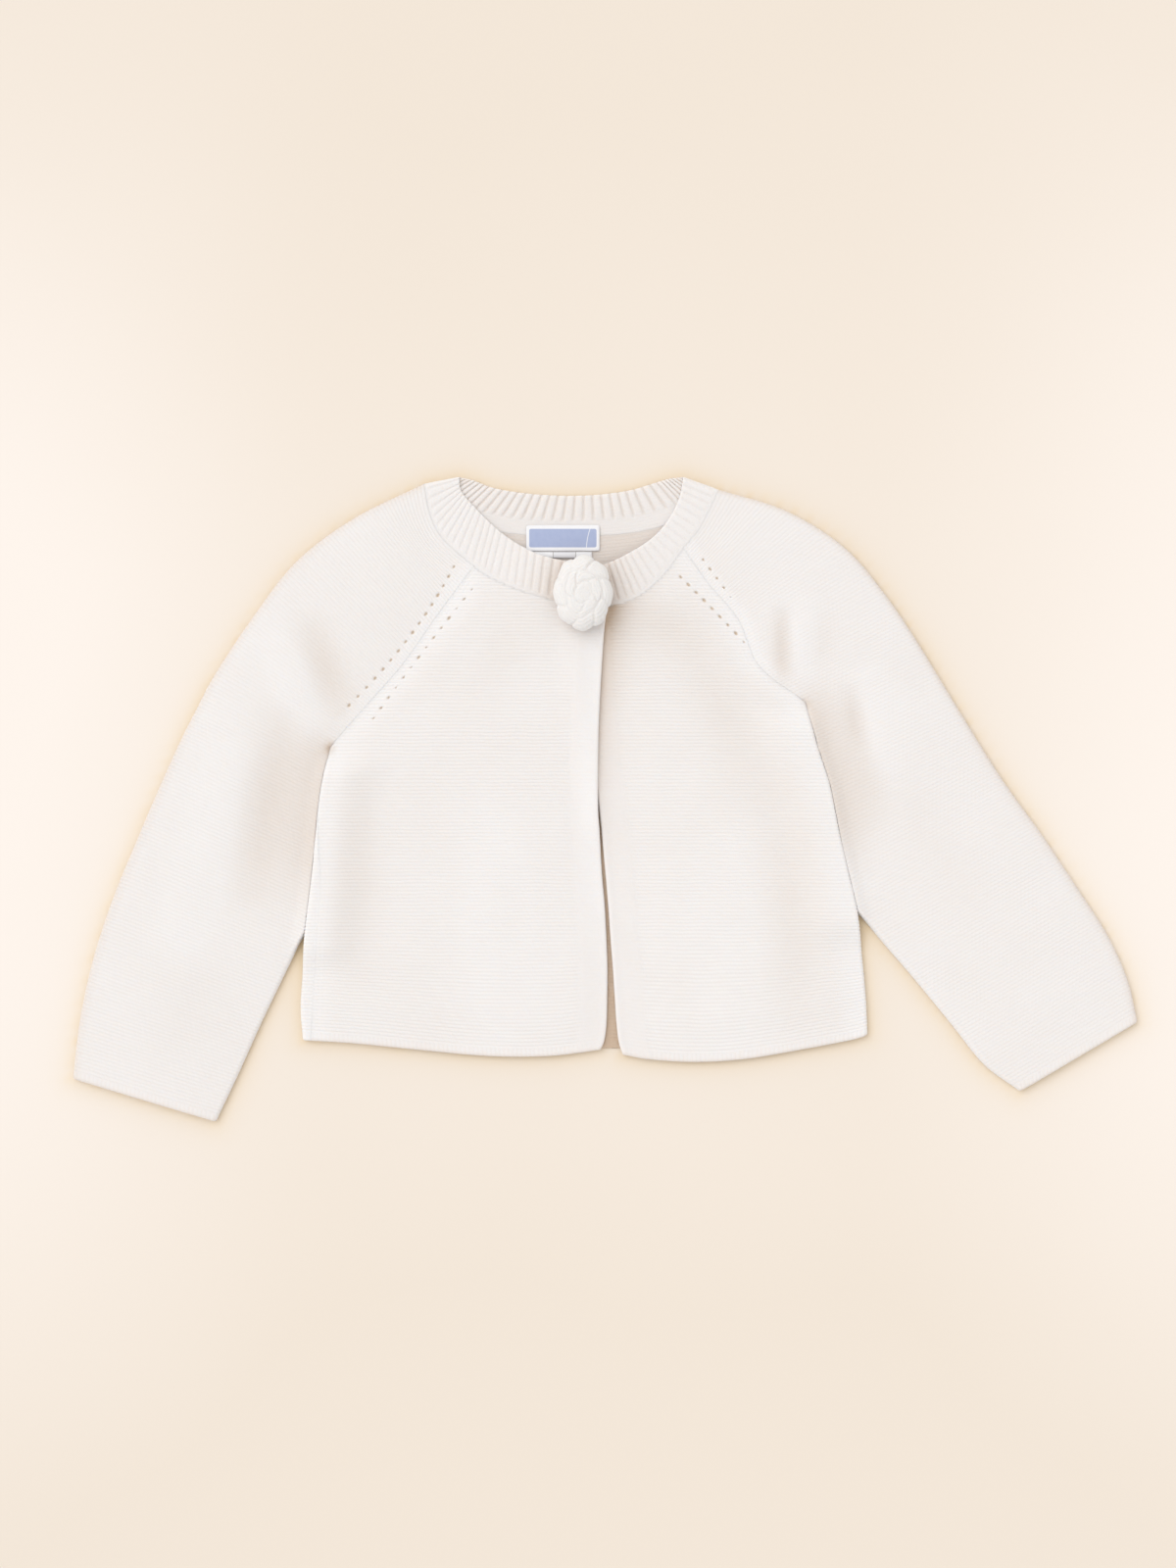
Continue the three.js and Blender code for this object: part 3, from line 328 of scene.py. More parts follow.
def round_fold(arc, depth):
    """Cross-section of a folded edge: plan distance from its outermost point, and height above z = 0.

    arc runs along the cloth, positive over the top. Within a quarter turn the point lies on a circle
    of radius FOLD_RADIUS - depth; past it the cloth is flat.
    """
    radius = FOLD_RADIUS - depth
    angle = np.clip(arc, -QUARTER, QUARTER) / FOLD_RADIUS
    beyond = np.maximum(np.abs(arc) - QUARTER, 0)
    return FOLD_RADIUS - radius * np.cos(angle) + beyond, FOLD_RADIUS + radius * np.sin(angle)


def arc_at(along):
    """Arc at which the outer face of the fold has come in by a plan distance."""
    turned = FOLD_RADIUS * np.arccos(1 - np.clip(along / FOLD_RADIUS, 0, 1))
    return np.where(along >= FOLD_RADIUS, QUARTER + along - FOLD_RADIUS, turned)


def tucked_share(side, y):
    """1 at the heights where a sleeve lies beneath the body's side, and 0 above and below them."""
    top, full, thin, end = TUCK_SPAN[side]
    return ease(top, full, y) * ease(thin, end, y)


def tuck_rise(x, y):
    """Rise of the body's sides over the sleeves that are tucked beneath them."""
    right, left = (
        tucked_share(side, y) * (1 - ease(8, 34, sign * (x - side_x[side](y))))
        for side, sign in INWARD.items()
    )
    return TUCK_LIFT * np.maximum(right, left)


def overlap_rise(x, y):
    """Rise of the right front and its end of the neckband over the left front."""
    edge = edge_x["left"](np.minimum(y, EDGES["left"][0][0]))
    return OVERLAP_LIFT * ease(edge - 15, edge - 1, x) * ease(-34, -10, y)


def neck_rise(x, y):
    """Rise of the whole front neck: one soft mound."""
    return NECK_RISE * bell(x + 12, 40) * bell(y - 118, 27)


def folds_alone(x, y):
    """Height of the soft folds, each a straight run with a bell-shaped section that sinks to its ends."""
    total = np.zeros(np.broadcast(x, y).shape)
    for start, end, width, height in FOLDS:
        run = np.subtract(end, start)
        share = np.clip(((x - start[0]) * run[0] + (y - start[1]) * run[1]) / (run @ run), 0, 1)
        away = np.hypot(x - start[0] - run[0] * share, y - start[1] - run[1] * share)
        total = total + height * (1 - 0.5 * (2 * share - 1) ** 2) * bell(away, width)
    return total


def fold_rise(x, y, settings):
    """Height of the soft folds and of the unevenness of the slack cloth."""
    slack = value_noise(x, y, 38, 5) + 0.5 * value_noise(x, y, 19, 6)
    return folds_alone(x, y) + settings.slack / MM * slack


def edge_round(distance, radius=1.0):
    """How far the faces draw in near a free edge, as a quarter circle of that radius."""
    s = np.clip(1 - distance / radius, 0, 1)
    return radius * (1 - np.sqrt(1 - s * s * 0.96))


def eyelet_distance(piece, x, y):
    """Distance to the nearest eyelet of a piece, in millimetres, at most FAR. Holes are a little oval."""
    nearest = np.full(np.broadcast(x, y).shape, FAR)
    random = np.random.default_rng(4)
    for name, *bend, count, still_open, closing in EYELETS:
        if name != piece:
            continue
        start, middle, end = np.array(bend)
        run = (end - start) / np.hypot(*(end - start))
        for k in range(count):
            t = k / (count - 1)
            centre = (1 - t) * (1 - 2 * t) * start + 4 * t * (1 - t) * middle + t * (2 * t - 1) * end
            dx, dy = x - centre[0], y - centre[1]
            along, across = dx * run[0] + dy * run[1], dx * run[1] - dy * run[0]
            shut = closing * random.random() + min(0.9, max(0, k - still_open + 1) * 0.24)
            nearest = np.minimum(nearest, np.hypot(along * 0.72, across * 1.12) + shut)
    return nearest


# Meshes


def grid_faces(rows, cols, first=0):
    """Two triangles for each cell of a grid of points that is stored row by row."""
    i, j = np.meshgrid(np.arange(rows - 1), np.arange(cols - 1), indexing="ij")
    a = (first + i * cols + j).ravel()
    quads = np.stack([a, a + 1, a + cols + 1, a + cols], 1)
    return np.vstack([quads[:, [0, 1, 2]], quads[:, [0, 2, 3]]])


def strip_faces(fine, coarse):
    """Closes the gap between two borders, where each coarse step spans a whole number of fine ones."""
    step = (len(fine) - 1) // (len(coarse) - 1)
    k = np.arange(len(coarse) - 1)
    half = (step + 1) // 2
    faces = [np.stack([coarse[k], fine[k * step + half], coarse[k + 1]], 1)]
    for m in range(step):
        tip = coarse[k] if m < half else coarse[k + 1]
        faces.append(np.stack([tip, fine[k * step + m], fine[k * step + m + 1]], 1))
    return np.vstack(faces)


def face_outward(points, faces):
    """Turns all faces round if the body they enclose has a negative volume."""
    a, b, c = points[faces[:, 0]], points[faces[:, 1]], points[faces[:, 2]]
    return faces if np.einsum("ij,ij->i", a, np.cross(b, c)).sum() > 0 else faces[:, ::-1]


def make_piece(name, points_mm, faces, uv=None, marks=None):
    """A smooth mesh object from points in millimetres, with a UV map in metres and named point values."""
    mesh = bpy.data.meshes.new(name)
    mesh.vertices.add(len(points_mm))
    mesh.vertices.foreach_set("co", (points_mm * MM).astype(np.float32).ravel())
    mesh.loops.add(faces.size)
    mesh.loops.foreach_set("vertex_index", faces.astype(np.int32).ravel())
    mesh.polygons.add(len(faces))
    mesh.polygons.foreach_set("loop_start", np.arange(0, faces.size, 3, dtype=np.int32))
    mesh.polygons.foreach_set("use_smooth", np.ones(len(faces), bool))
    mesh.update(calc_edges=True)
    mesh.validate()
    if uv is not None:
        layer = mesh.uv_layers.new(name="cloth")
        layer.data.foreach_set("uv", (uv[faces.ravel()] * MM).astype(np.float32).ravel())
    for mark, values in (marks or {}).items():
        attribute = mesh.attributes.new(mark, "FLOAT", "POINT")
        attribute.data.foreach_set("value", np.asarray(values, np.float32))
    piece = bpy.data.objects.new(name, mesh)
    bpy.context.scene.collection.objects.link(piece)
    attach(piece, "root")
    return piece


def face_grids(x, y, z, u, v, **marks):
    """One face of a wall as whole grids: its points, its UV along u and v, and its marks."""
    # the mark of painted shade and painted light stays between 0 and 1
    if "shade" in marks:
        marks["shade"] = np.clip(marks["shade"], 0, 1)
    x, y, z, u, v, *values = np.broadcast_arrays(x, y, z, u, v, *marks.values())
    return {"points": np.stack([x, y, z], -1), "uv": np.stack([u, v], -1), "marks": dict(zip(marks, values))}


def make_wall(name, outer, inner):
    """A closed wall of cloth between two faces.

    The inner face may have fewer rows than the outer one. Strips of faces close the borders.
    """
    rows, cols = outer["points"].shape[:2]
    inner_rows = inner["points"].shape[0]
    first = rows * cols
    at_outer = np.arange(first).reshape(rows, cols)
    at_inner = first + np.arange(inner_rows * cols).reshape(inner_rows, cols)
    faces = np.vstack([
        grid_faces(rows, cols),
        grid_faces(inner_rows, cols, first)[:, ::-1],
        strip_faces(at_outer[:, 0], at_inner[:, 0]),
        strip_faces(at_outer[:, -1], at_inner[:, -1])[:, ::-1],
        strip_faces(at_outer[0], at_inner[0])[:, ::-1],
        strip_faces(at_outer[-1], at_inner[-1]),
    ])
    points = np.vstack([outer["points"].reshape(-1, 3), inner["points"].reshape(-1, 3)])
    uv = np.vstack([outer["uv"].reshape(-1, 2), inner["uv"].reshape(-1, 2)])
    marks = {mark: np.append(outer["marks"][mark], inner["marks"][mark]) for mark in outer["marks"]}
    piece = make_piece(name, points, face_outward(points, faces), uv, marks)
    piece.data.set_sharp_from_angle(angle=math.radians(70))
    return piece


# Columns of a panel by their distance along the cloth from a seam or the front edge
NEAR_SEAM = np.concatenate([[0, 0.3, 0.8, 1.4, 2.1, 2.9, 3.7], np.arange(4.3, 14, 0.55)])
NEAR_BACK_SEAM = np.concatenate([[0, 0.3, 0.8, 1.4], np.arange(2, 14.5, 0.6)])
NEAR_UNDERARM = np.array([0, 0.3, 0.8, 1.5, 2.3, 3.1, 4.0, 5.5])
NEAR_EDGE = np.array([16, 14.6, 13.6, 12.2, 10, 7.5, 5, 3.2, 2, 1.1, 0.5, 0.15, 0])
# Columns of the neckband as shares of its width
BAND_COLUMNS = np.array([
    -0.03, 0.01, 0.05, 0.08, 0.11, 0.16, 0.24, 0.34, 0.44,
    0.54, 0.64, 0.74, 0.83, 0.9, 0.95, 0.975, 0.992, 1.0,
])
SHORT_ROW = 36.0  # rows shorter than this have their columns drawn together


def ridge_rows(low, high, settings, step=1):
    """Row coordinates from low to high: whole ridges, with ROWS_PER_RIDGE / step rows in each."""
    ridges = round((high - low) / (settings.ridge_pitch / MM))
    return np.linspace(low, high, ridges * ROWS_PER_RIDGE // step + 1)[:, None]


def row_ends(side, layer, y):
    """The side end of rows at y: arc of the seam, and plan x of the folded edge."""
    sign = 1 if layer == "front" else -1
    armpit = SLEEVES[side][ARMPIT_SECTION][1]
    x = x_along(raglan[side][layer], y)
    opened = QUARTER * ease(0, CURL_LENGTH, np.hypot(x - armpit[0], y - armpit[1]))
    above = y > armpit[1]
    start = np.where(above, sign * (opened - SEAM_LAP), side_seam[side](y) - sign * SEAM_LAP)
    beyond = SEAM_LAP + round_fold(start, 0)[0]
    return start, np.where(above, x - INWARD[side] * beyond, side_x[side](y))


def inner_bevel(start):
    """Extra draw-back of the inner face where a seam lies in the turn, so that its ends stay apart."""
    return FOLD_RADIUS * (1 - ease(0.6 * QUARTER, 0.93 * QUARTER, np.abs(start)))


def painted_trough_shade(x, y):
    """Painted shade on the wool: a warm darkening, stronger with the depth of a soft fold, and in the dimples
    at the armpits.
    """
    tone = BASE_PAINTED_SHADE + 0.22 * np.clip(-folds_alone(x, y) / 1.6, -0.15, 1.5)
    # painted shade in the dimples at the armpits
    for side, strength in (("right", 0.5), ("left", 0.2)):
        armpit_x, armpit_y = SLEEVES[side][ARMPIT_SECTION][1]
        tone = tone + strength * bell(x - armpit_x, 2.6) * bell(y - armpit_y, 3.4)
    return tone


def painted_flower_shadow(x, y, spread):
    """Painted shadow of the flower on the wool round its foot, fading with the distance from its oval."""
    away = np.hypot((x - FLOWER["centre"][0]) / 15, (y - FLOWER["centre"][1]) / 19)
    return np.exp(-np.maximum(away - 0.95, 0) / spread)


def cloth_depth(inner, v, x, y, settings, seam, rim, plain=0.0, eyelet=FAR, carve_inner=False, share=1.0):
    """Depth of a face inside the wall: grooves between ridges, seam grooves, eyelets and rounded edges.

    Each ridge pitch of the row coordinate v has one valley. seam and rim are the distances to the
    nearest seam and the nearest free edge.
    """
    valley = 1 - np.abs(np.sin(np.pi * v / (settings.ridge_pitch / MM))) ** 0.8
    uneven = 0.85 + 0.3 * value_noise(x, y, 7, 8)
    fading = (1 - 0.75 * plain) * ease(2, 6, rim) * mix(0.3, 1, ease(0, 3, seam))
    ridges = share * settings.ridge_depth / MM * valley * uneven * fading
    if inner:
        return WALL - edge_round(rim) - (ridges if carve_inner else 0)
    hole = settings.eyelet_depth / MM * (1 - ease(0.4, 1.3, eyelet))
    stitches = 0.16 * (1 - np.abs(np.sin(np.pi * (seam + 0.7) / 2.7))) * (1 - ease(4.3, 5.8, seam))
    return ridges + edge_round(rim) + hole + stitches + SEAM_GROOVE * edge_round(seam, 1.3)


def front_face(side, settings, inner):
    """One face of a front panel: level rows of knit from its side seam, over the fold, to its front edge.

    Rows bend onto the hem over HEM_BLEND and run out on the raglan and neck seams.
    """
    inward = INWARD[side]
    v = ridge_rows(FRONT_BED, SLEEVES[side][0][1][1] - 0.15, settings, ROWS_PER_RIDGE if inner else 1)
    up = v - FRONT_BED
    near_hem = 1 - ease(0, HEM_BLEND, up)
    y_edge = v + (EDGES[side][-1][0] - FRONT_BED) * near_hem
    edge_top = EDGES[side][0][0]
    start, fold = row_ends(side, "front", v + (SIDES[side][-1][0] - FRONT_BED) * near_hem)
    x_edge = np.where(y_edge > edge_top, x_along(neck_seam[side], y_edge), edge_x[side](y_edge))
    last = arc_at(np.abs(x_edge - fold))
    scale = np.minimum(1, (last - start) / SHORT_ROW)
    low, high = start + NEAR_SEAM[-1] * scale, last - NEAR_EDGE[0] * scale
    middle = low + (high - low) * np.linspace(0, 1, 38)[1:-1]
    arc = np.hstack([start + NEAR_SEAM * scale, middle, last - NEAR_EDGE * scale])
    from_seam = arc - start
    if inner:
        arc = arc + inner_bevel(start) * (1 - ease(0, 6, from_seam))
    x = fold + inward * round_fold(arc, 0)[0]
    y = v + (hem_y[side](x) - FRONT_BED) * near_hem
    to_edge = np.abs(edge_x[side](np.minimum(y, edge_top)) - x)
    on_edge = np.where(y_edge > edge_top, OPEN_CLOTH, np.abs(last - arc))
    y = y + settings.waviness / MM * value_noise(x, y, 11, 3) * ease(0, 8, up) * ease(0, 6, from_seam)
    plain = (1 - ease(FRONT_BAND - 1, FRONT_BAND + 0.4, to_edge)) * (1 - 0.3 * ease(60, 100, y))
    eyelet = eyelet_distance("front_" + side, x, y)
    depth = cloth_depth(inner, up, x, y, settings, from_seam, np.minimum(on_edge, up), plain, eyelet)
    if not inner:
        depth = depth + 0.3 * bell(to_edge - FRONT_BAND, 0.9)
        depth = depth - 0.35 * bell(to_edge - 1.4, 1.3) * (on_edge < 6)
    along, height = round_fold(arc, depth)
    x = fold + inward * along

    waist = SIDES[side][0][0]
    upper = ease(0, QUARTER, arc)
    covered = 0 if side == "right" else EDGES["right"][0][1] - EDGES["left"][0][1]
    fade = ease(0, 22, along) * ease(covered, covered + 20, to_edge) * ease(0, 26, up)
    fade = fade * (1 - ease(0.7, 1, np.clip((y - waist) / (neck_y[side](x) - waist), 0, 1)))
    swell = np.maximum(0, (FRONT_PUFF + fold_rise(x, y, settings)) * fade)
    z = height + tuck_rise(x, y) + upper * (neck_rise(x, y) + swell)
    # painted shade in the folds, with painted light on the body's sides
    shade = painted_trough_shade(x, y) - BASE_PAINTED_SHADE * (1 - ease(4, 20, along))
    if side == "right":
        z = z + overlap_rise(x, y)
        # painted light along the right front's band
        shade = shade - BASE_PAINTED_SHADE * bell(to_edge - 5, 6) * ease(-120, -20, y)
    # painted shade on the upper layer only, and along the hem
    shade = shade * upper + 0.2 * (1 - ease(0, 2.5, up))
    # painted shadow of the flower, strongest on the left front
    shade = shade + (0.2 if side == "right" else 0.75) * painted_flower_shadow(x, y, 0.3)
    if side == "left":
        # painted shadow that the right front's edge casts on the left front
        beside = np.maximum(x - edge_x["right"](np.minimum(y, edge_top)), 0)
        shade = shade + 0.62 * np.exp(-beside / (6 + 5 * ease(40, 95, y))) * ease(-60, 80, y)
    ticks = 1 - ease(*RIM_TICKS, up)
    eyelet = FAR if inner else eyelet
    return face_grids(x, y, z, arc * inward, up, eyelet=eyelet, plain=plain, rim=ticks, shade=shade)


def back_face(settings, inner):
    """One face of the back: rows from the right side seam, underneath, to the left side seam.

    Rows bend onto the hem over HEM_BLEND and onto the neck seam over the topmost 80 mm.
    """
    v = ridge_rows(BACK_BED, BACK_TOP, settings, 2 if inner else 1)
    up = v - BACK_BED
    near_hem, near_neck = 1 - ease(0, HEM_BLEND, up), ease(BACK_TOP - 80, BACK_TOP, v)

    def row_y(x):
        return v + (hem_y["back"](x) - BACK_BED) * near_hem + (neck_y["back"](x) - BACK_TOP) * near_neck

    def depth_at(x, seam):
        rim = np.broadcast_to(up, x.shape)
        return cloth_depth(inner, up, x, row_y(x), settings, seam, rim, carve_inner=True)

    def side_columns(side):
        """x and height of the columns near a side seam, and x of the innermost one on the flat cloth."""
        hem_corner, neck_corner = SIDES[side][-1][0], SLEEVES[side][0][2][1]
        y = v + (hem_corner - BACK_BED) * near_hem + (neck_corner - BACK_TOP) * near_neck
        start, fold = row_ends(side, "back", y)
        arc = start - NEAR_BACK_SEAM
        if inner:
            arc = arc - inner_bevel(start) * (1 - ease(0, 6, NEAR_BACK_SEAM))
        flat_x = fold + INWARD[side] * round_fold(arc, 0)[0]
        along, height = round_fold(arc, depth_at(flat_x, NEAR_BACK_SEAM))
        return fold + INWARD[side] * along, height, flat_x[:, -1:]

    right_x, right_z, low = side_columns("right")
    left_x, left_z, high = side_columns("left")
    middle = low + (high - low) * np.linspace(0, 1, 42)[1:-1]
    x = np.hstack([right_x, middle, left_x[:, ::-1]])
    z = np.hstack([right_z, depth_at(middle, OPEN_CLOTH), left_z[:, ::-1]])
    y = row_y(x)
    y = y + settings.waviness / MM * value_noise(x, y, 11, 4) * ease(0, 8, up) * ease(0, 8, BACK_TOP - v)
    z = z + tuck_rise(x, y)
    # painted shade on the inside of the back, darkest in the gap between the fronts, lighter in the neck
    # opening
    ticks, shade = 1 - ease(*RIM_TICKS, up), mix(1.0, 0.4, ease(95, 125, y)) * inner
    return face_grids(x, y, z, x, up, eyelet=FAR, plain=0.0, rim=ticks, shade=shade)


def sleeve_face(side, settings, inner):
    """One face of a sleeve: rows from its front edge, over the outer fold, to its back edge underneath.

    Below the armpit the two edges meet in the underarm seam, and the row is a closed flattened tube.
    """
    sections, piece, outward = SLEEVES[side], "sleeve_" + side, -INWARD[side]
    last = len(sections) - 1
    outer, *both = (curve_through([row[k] for row in sections]) for k in range(3))
    edges = dict(zip(("front", "back"), both))
    fine = np.linspace(0, last, 900)
    centre = (outer(fine / last) + edges["front"](fine / last)) / 2
    run = np.concatenate([[0], np.cumsum(np.hypot(*np.diff(centre, axis=0).T))])
    v = ridge_rows(0, run[-1], settings, ROWS_PER_RIDGE if inner else 1)
    track = np.interp(v[:, 0], run, fine)
    in_raglan = track[:, None] <= ARMPIT_SECTION
    fold_point = outer(track / last)[:, None]
    armpit = np.array(sections[ARMPIT_SECTION][1])
    tuck = TUCK_UNDER * ease(ARMPIT_SECTION - 0.2, ARMPIT_SECTION + 0.6, track) * (1 - ease(8.2, 9.2, track))

    edge_point, start, width, turned, arcs = {}, {}, {}, {}, {}
    for edge, near, spans in (("front", NEAR_SEAM, 26), ("back", NEAR_UNDERARM, 12)):
        on_raglan = raglan[side][edge](np.minimum(track / ARMPIT_SECTION, 1))
        point = np.where(in_raglan, on_raglan, edges[edge](track / last))
        away = np.hypot(*(point - armpit).T)[:, None]
        start[edge] = np.where(in_raglan, QUARTER * ease(0, CURL_LENGTH, away) - SEAM_LAP, 0.02)
        point[:, 0] -= outward * (SEAM_LAP * in_raglan[:, 0] + tuck)
        edge_point[edge] = point[:, None]
        width[edge] = np.hypot(*(point - fold_point[:, 0]).T)[:, None]
        turned[edge] = round_fold(start[edge], 0)[0]
        full = arc_at(width[edge] + turned[edge] - FOLD_RADIUS)
        low = start[edge] + near[-1]
        arcs[edge] = np.hstack([start[edge] + near, low + (full - low) * np.linspace(0, 1, spans)[1:]])
        if inner:
            arcs[edge] = arcs[edge] + inner_bevel(start[edge]) * (1 - ease(0, 6, arcs[edge] - start[edge]))
    bow = (1 - ease(0, 0.9, track))[:, None, None]
    corner = 5 if side == "right" else 4
    seams = {
        "front": curve_through(NECK_SEAMS[side][:corner]),
        "back": curve_through(NECK_SEAMS["back"][:3] if side == "right" else NECK_SEAMS["back"][:7:-1]),
    }

    def plan(edge, reach):
        """x and y at a distance from the outer fold. The first rows are bent onto the neck seam."""
        share = (reach / width[edge])[..., None]
        bounded = np.clip(share, 0, 1)
        ends = seams[edge](np.array([0.0, 1.0]))
        dip = seams[edge](bounded[..., 0]) - (ends[0] + (ends[1] - ends[0]) * bounded)
        place = fold_point + (edge_point[edge] - fold_point) * share + dip * bow
        return place[..., 0], place[..., 1]

    def settle(edge, arc, depth, from_seam):
        """Distance from the outer fold, and height, of points at a depth in the wall."""
        along, height = round_fold(arc, depth)
        if not from_seam:
            return along, height
        return width[edge] - along + turned[edge], height if edge == "front" else 2 * FOLD_RADIUS - height

    rim = run[-1] - v
    puff = np.interp(track, np.arange(last + 1), [row[3] for row in sections])[:, None]
    turn = QUARTER * np.linspace(1, -1, 9)[1:-1] + 0 * v
    columns = []
    for edge, arc, from_seam in (
        ("front", arcs["front"], True), ("front", turn[:, :4], False),
        ("back", turn[:, 4:], False), ("back", arcs["back"][:, ::-1], True),
    ):
        x, y = plan(edge, settle(edge, arc, 0, from_seam)[0])
        eyelet = eyelet_distance(piece, x, y) if edge == "front" and not inner else FAR
        seam = arc - start[edge] if from_seam else OPEN_CLOTH
        share = RIDGE_SHARE[side] * ease(0, 2.5, v)
        depth = cloth_depth(inner, v, x, y, settings, seam, rim + 0 * x, eyelet=eyelet, share=share)
        reach, z = settle(edge, arc, depth, from_seam)
        x, y = plan(edge, reach)
        if edge == "back":
            columns.append((x, y, z, -reach, np.full(x.shape, FAR), 0 * x))
            continue
        upper = ease(FOLD_RADIUS, 2 * FOLD_RADIUS, z + depth)
        swell = np.sin(np.pi * np.clip(reach / width["front"], 0, 1)) ** 0.8 * ease(0, 0.8, track)[:, None]
        beside = outward * (x - side_x[side](np.clip(y, SIDES[side][-1][0], armpit[1])))
        bulge = TUCK_BULGE * bell(beside, np.where(beside > 0, 4.5, 0.35)) * tucked_share(side, y)
        soft = np.maximum(0, (puff + fold_rise(x, y, settings)) * swell)
        z = z + upper * (soft + neck_rise(x, y) + bulge)
        # painted shade on the sleeve beside the body's side
        tucked = bell(beside, 15) * ease(armpit[1] + 16, armpit[1] - 6, y) * ease(*TUCK_FADE[side], y)
        # painted shade along the outer fold and the cuff, where the edge curves away
        outline = 0.3 * (1 - ease(0, 3.5, reach)) + 0.2 * (1 - ease(0, 2.5, rim))
        # painted light beside the raglan seam
        beside_seam = BASE_PAINTED_SHADE * in_raglan * (1 - ease(3, 9, width[edge] - reach))
        shade = painted_trough_shade(x, y) + 0.32 * tucked + outline - beside_seam
        eyelet = np.full(x.shape, FAR) if inner else eyelet_distance(piece, x, y)
        columns.append((x, y, z, reach, eyelet, shade))
    x, y, z, u, eyelet, shade = (np.hstack(parts) for parts in zip(*columns))
    return face_grids(x, y, z, u, v, eyelet=eyelet, plain=0.0, rim=1 - ease(*RIM_TICKS, rim), shade=shade)


def neckband_face(settings, inner):
    """One face of the neckband, from the right front's end round the back to the left front's end.

    One by one rib: a rounded ridge and a narrow groove in each rib pitch, raised on the face that is up.
    """
    fine = np.linspace(0, 1, 400)
    lengths = {}
    for name in neck_seam:
        curves = (neck_seam[name], neck_edge[name])
        both = [np.hypot(*np.diff(curve(fine), axis=0).T).sum() for curve in curves]
        lengths[name] = sum(both) / 2
    turn = QUARTER - FOLD_RADIUS
    right = lengths["right"] + turn
    behind = lengths["back"] + 2 * turn
    total = right + behind + turn + lengths["left"]
    ribs = round(total / (settings.rib_pitch / MM))
    length = np.linspace(0, total, ribs * 10 + 1)[:, None]
    on_right = length < right + behind / 2
    arc = np.where(on_right, right - length, length - right - behind)
    share = BAND_COLUMNS
    back_share = 1 - ease(-14, 4, arc)
    rib_start = mix(0.09, 0.4, back_share)
    ribbed = ease(rib_start - 0.05, rib_start + 0.06, share)
    phase = length / total * ribs
    ridge = ease(0.03, 0.24, np.abs(phase - np.floor(phase) - 0.5)) * (0.9 + 0.1 * np.cos(2 * np.pi * phase))
    loops = np.pi * share * BAND_WIDTH / (settings.ridge_pitch / MM)
    purl = 0.12 * np.abs(np.sin(loops + 1.5 * np.round(phase)))
    top_face = ease(-QUARTER * 0.4, QUARTER * 0.4, arc)
    ends = np.minimum(length, total - length)
    rim = np.minimum((1 - share) * BAND_WIDTH, ends)
    by_ends = 1 - ease(20, 50, ends)
    corner = np.minimum(np.abs(arc) / 16, 1)
    cut = mix(mix(0.2, 0.4, by_ends), mix(0.15, 0.42, corner), back_share)
    groove = cut * (1 - ridge) * ribbed + purl * ridge * ribbed
    relief = mix(mix(0.6, 1, by_ends), mix(0.4, 1, corner), back_share)
    lift = settings.rib_relief / MM * ridge * ribbed * relief
    seam_dip = 0.1 * (1 - ease(-0.01, 0.05, share))
    if inner:
        depth = WALL - groove + lift * (1 - top_face) - edge_round(rim) - seam_dip * (1 - top_face)
    else:
        depth = groove - lift * top_face + edge_round(rim) + seam_dip * top_face
    along, height = round_fold(arc, depth)
    x = y = 0
    above = arc >= 0
    for name, use in (("right", on_right & above), ("back", ~above), ("left", ~on_right & above)):
        f = along / lengths[name]
        if name == "back":
            f = np.where(on_right, f, 1 - f)
        f = np.clip(f, 0, 1)
        place = mix(neck_seam[name](f), neck_edge[name](f), share[:, None])
        x, y = x + use * place[..., 0], y + use * place[..., 1]
    over_left = overlap_rise(x, y) * (on_right & above)
    z = height + ease(-QUARTER, 2 * QUARTER, arc) * (neck_rise(x, y) + over_left)
    by_flower = painted_flower_shadow(x, y, 0.5) * (1 - back_share)
    # painted shade: a base on the front part, the flower's painted shadow, and on the back more towards its
    # corners
    shade = BASE_PAINTED_SHADE * (1 - back_share) + 0.45 * by_flower + back_share * mix(0.5, 0.14, corner)
    # how dark the painted shade in the rib grooves is: more near the front ends, the flower and on the back,
    # less at the back's corners
    strength = ribbed * mix(0.14 + 0.3 * by_ends + 0.4 * by_flower, mix(0.4, 0.85, corner), back_share)
    return face_grids(x, y, z, length, share * BAND_WIDTH, ridge=mix(1.0, ridge, strength), shade=shade)


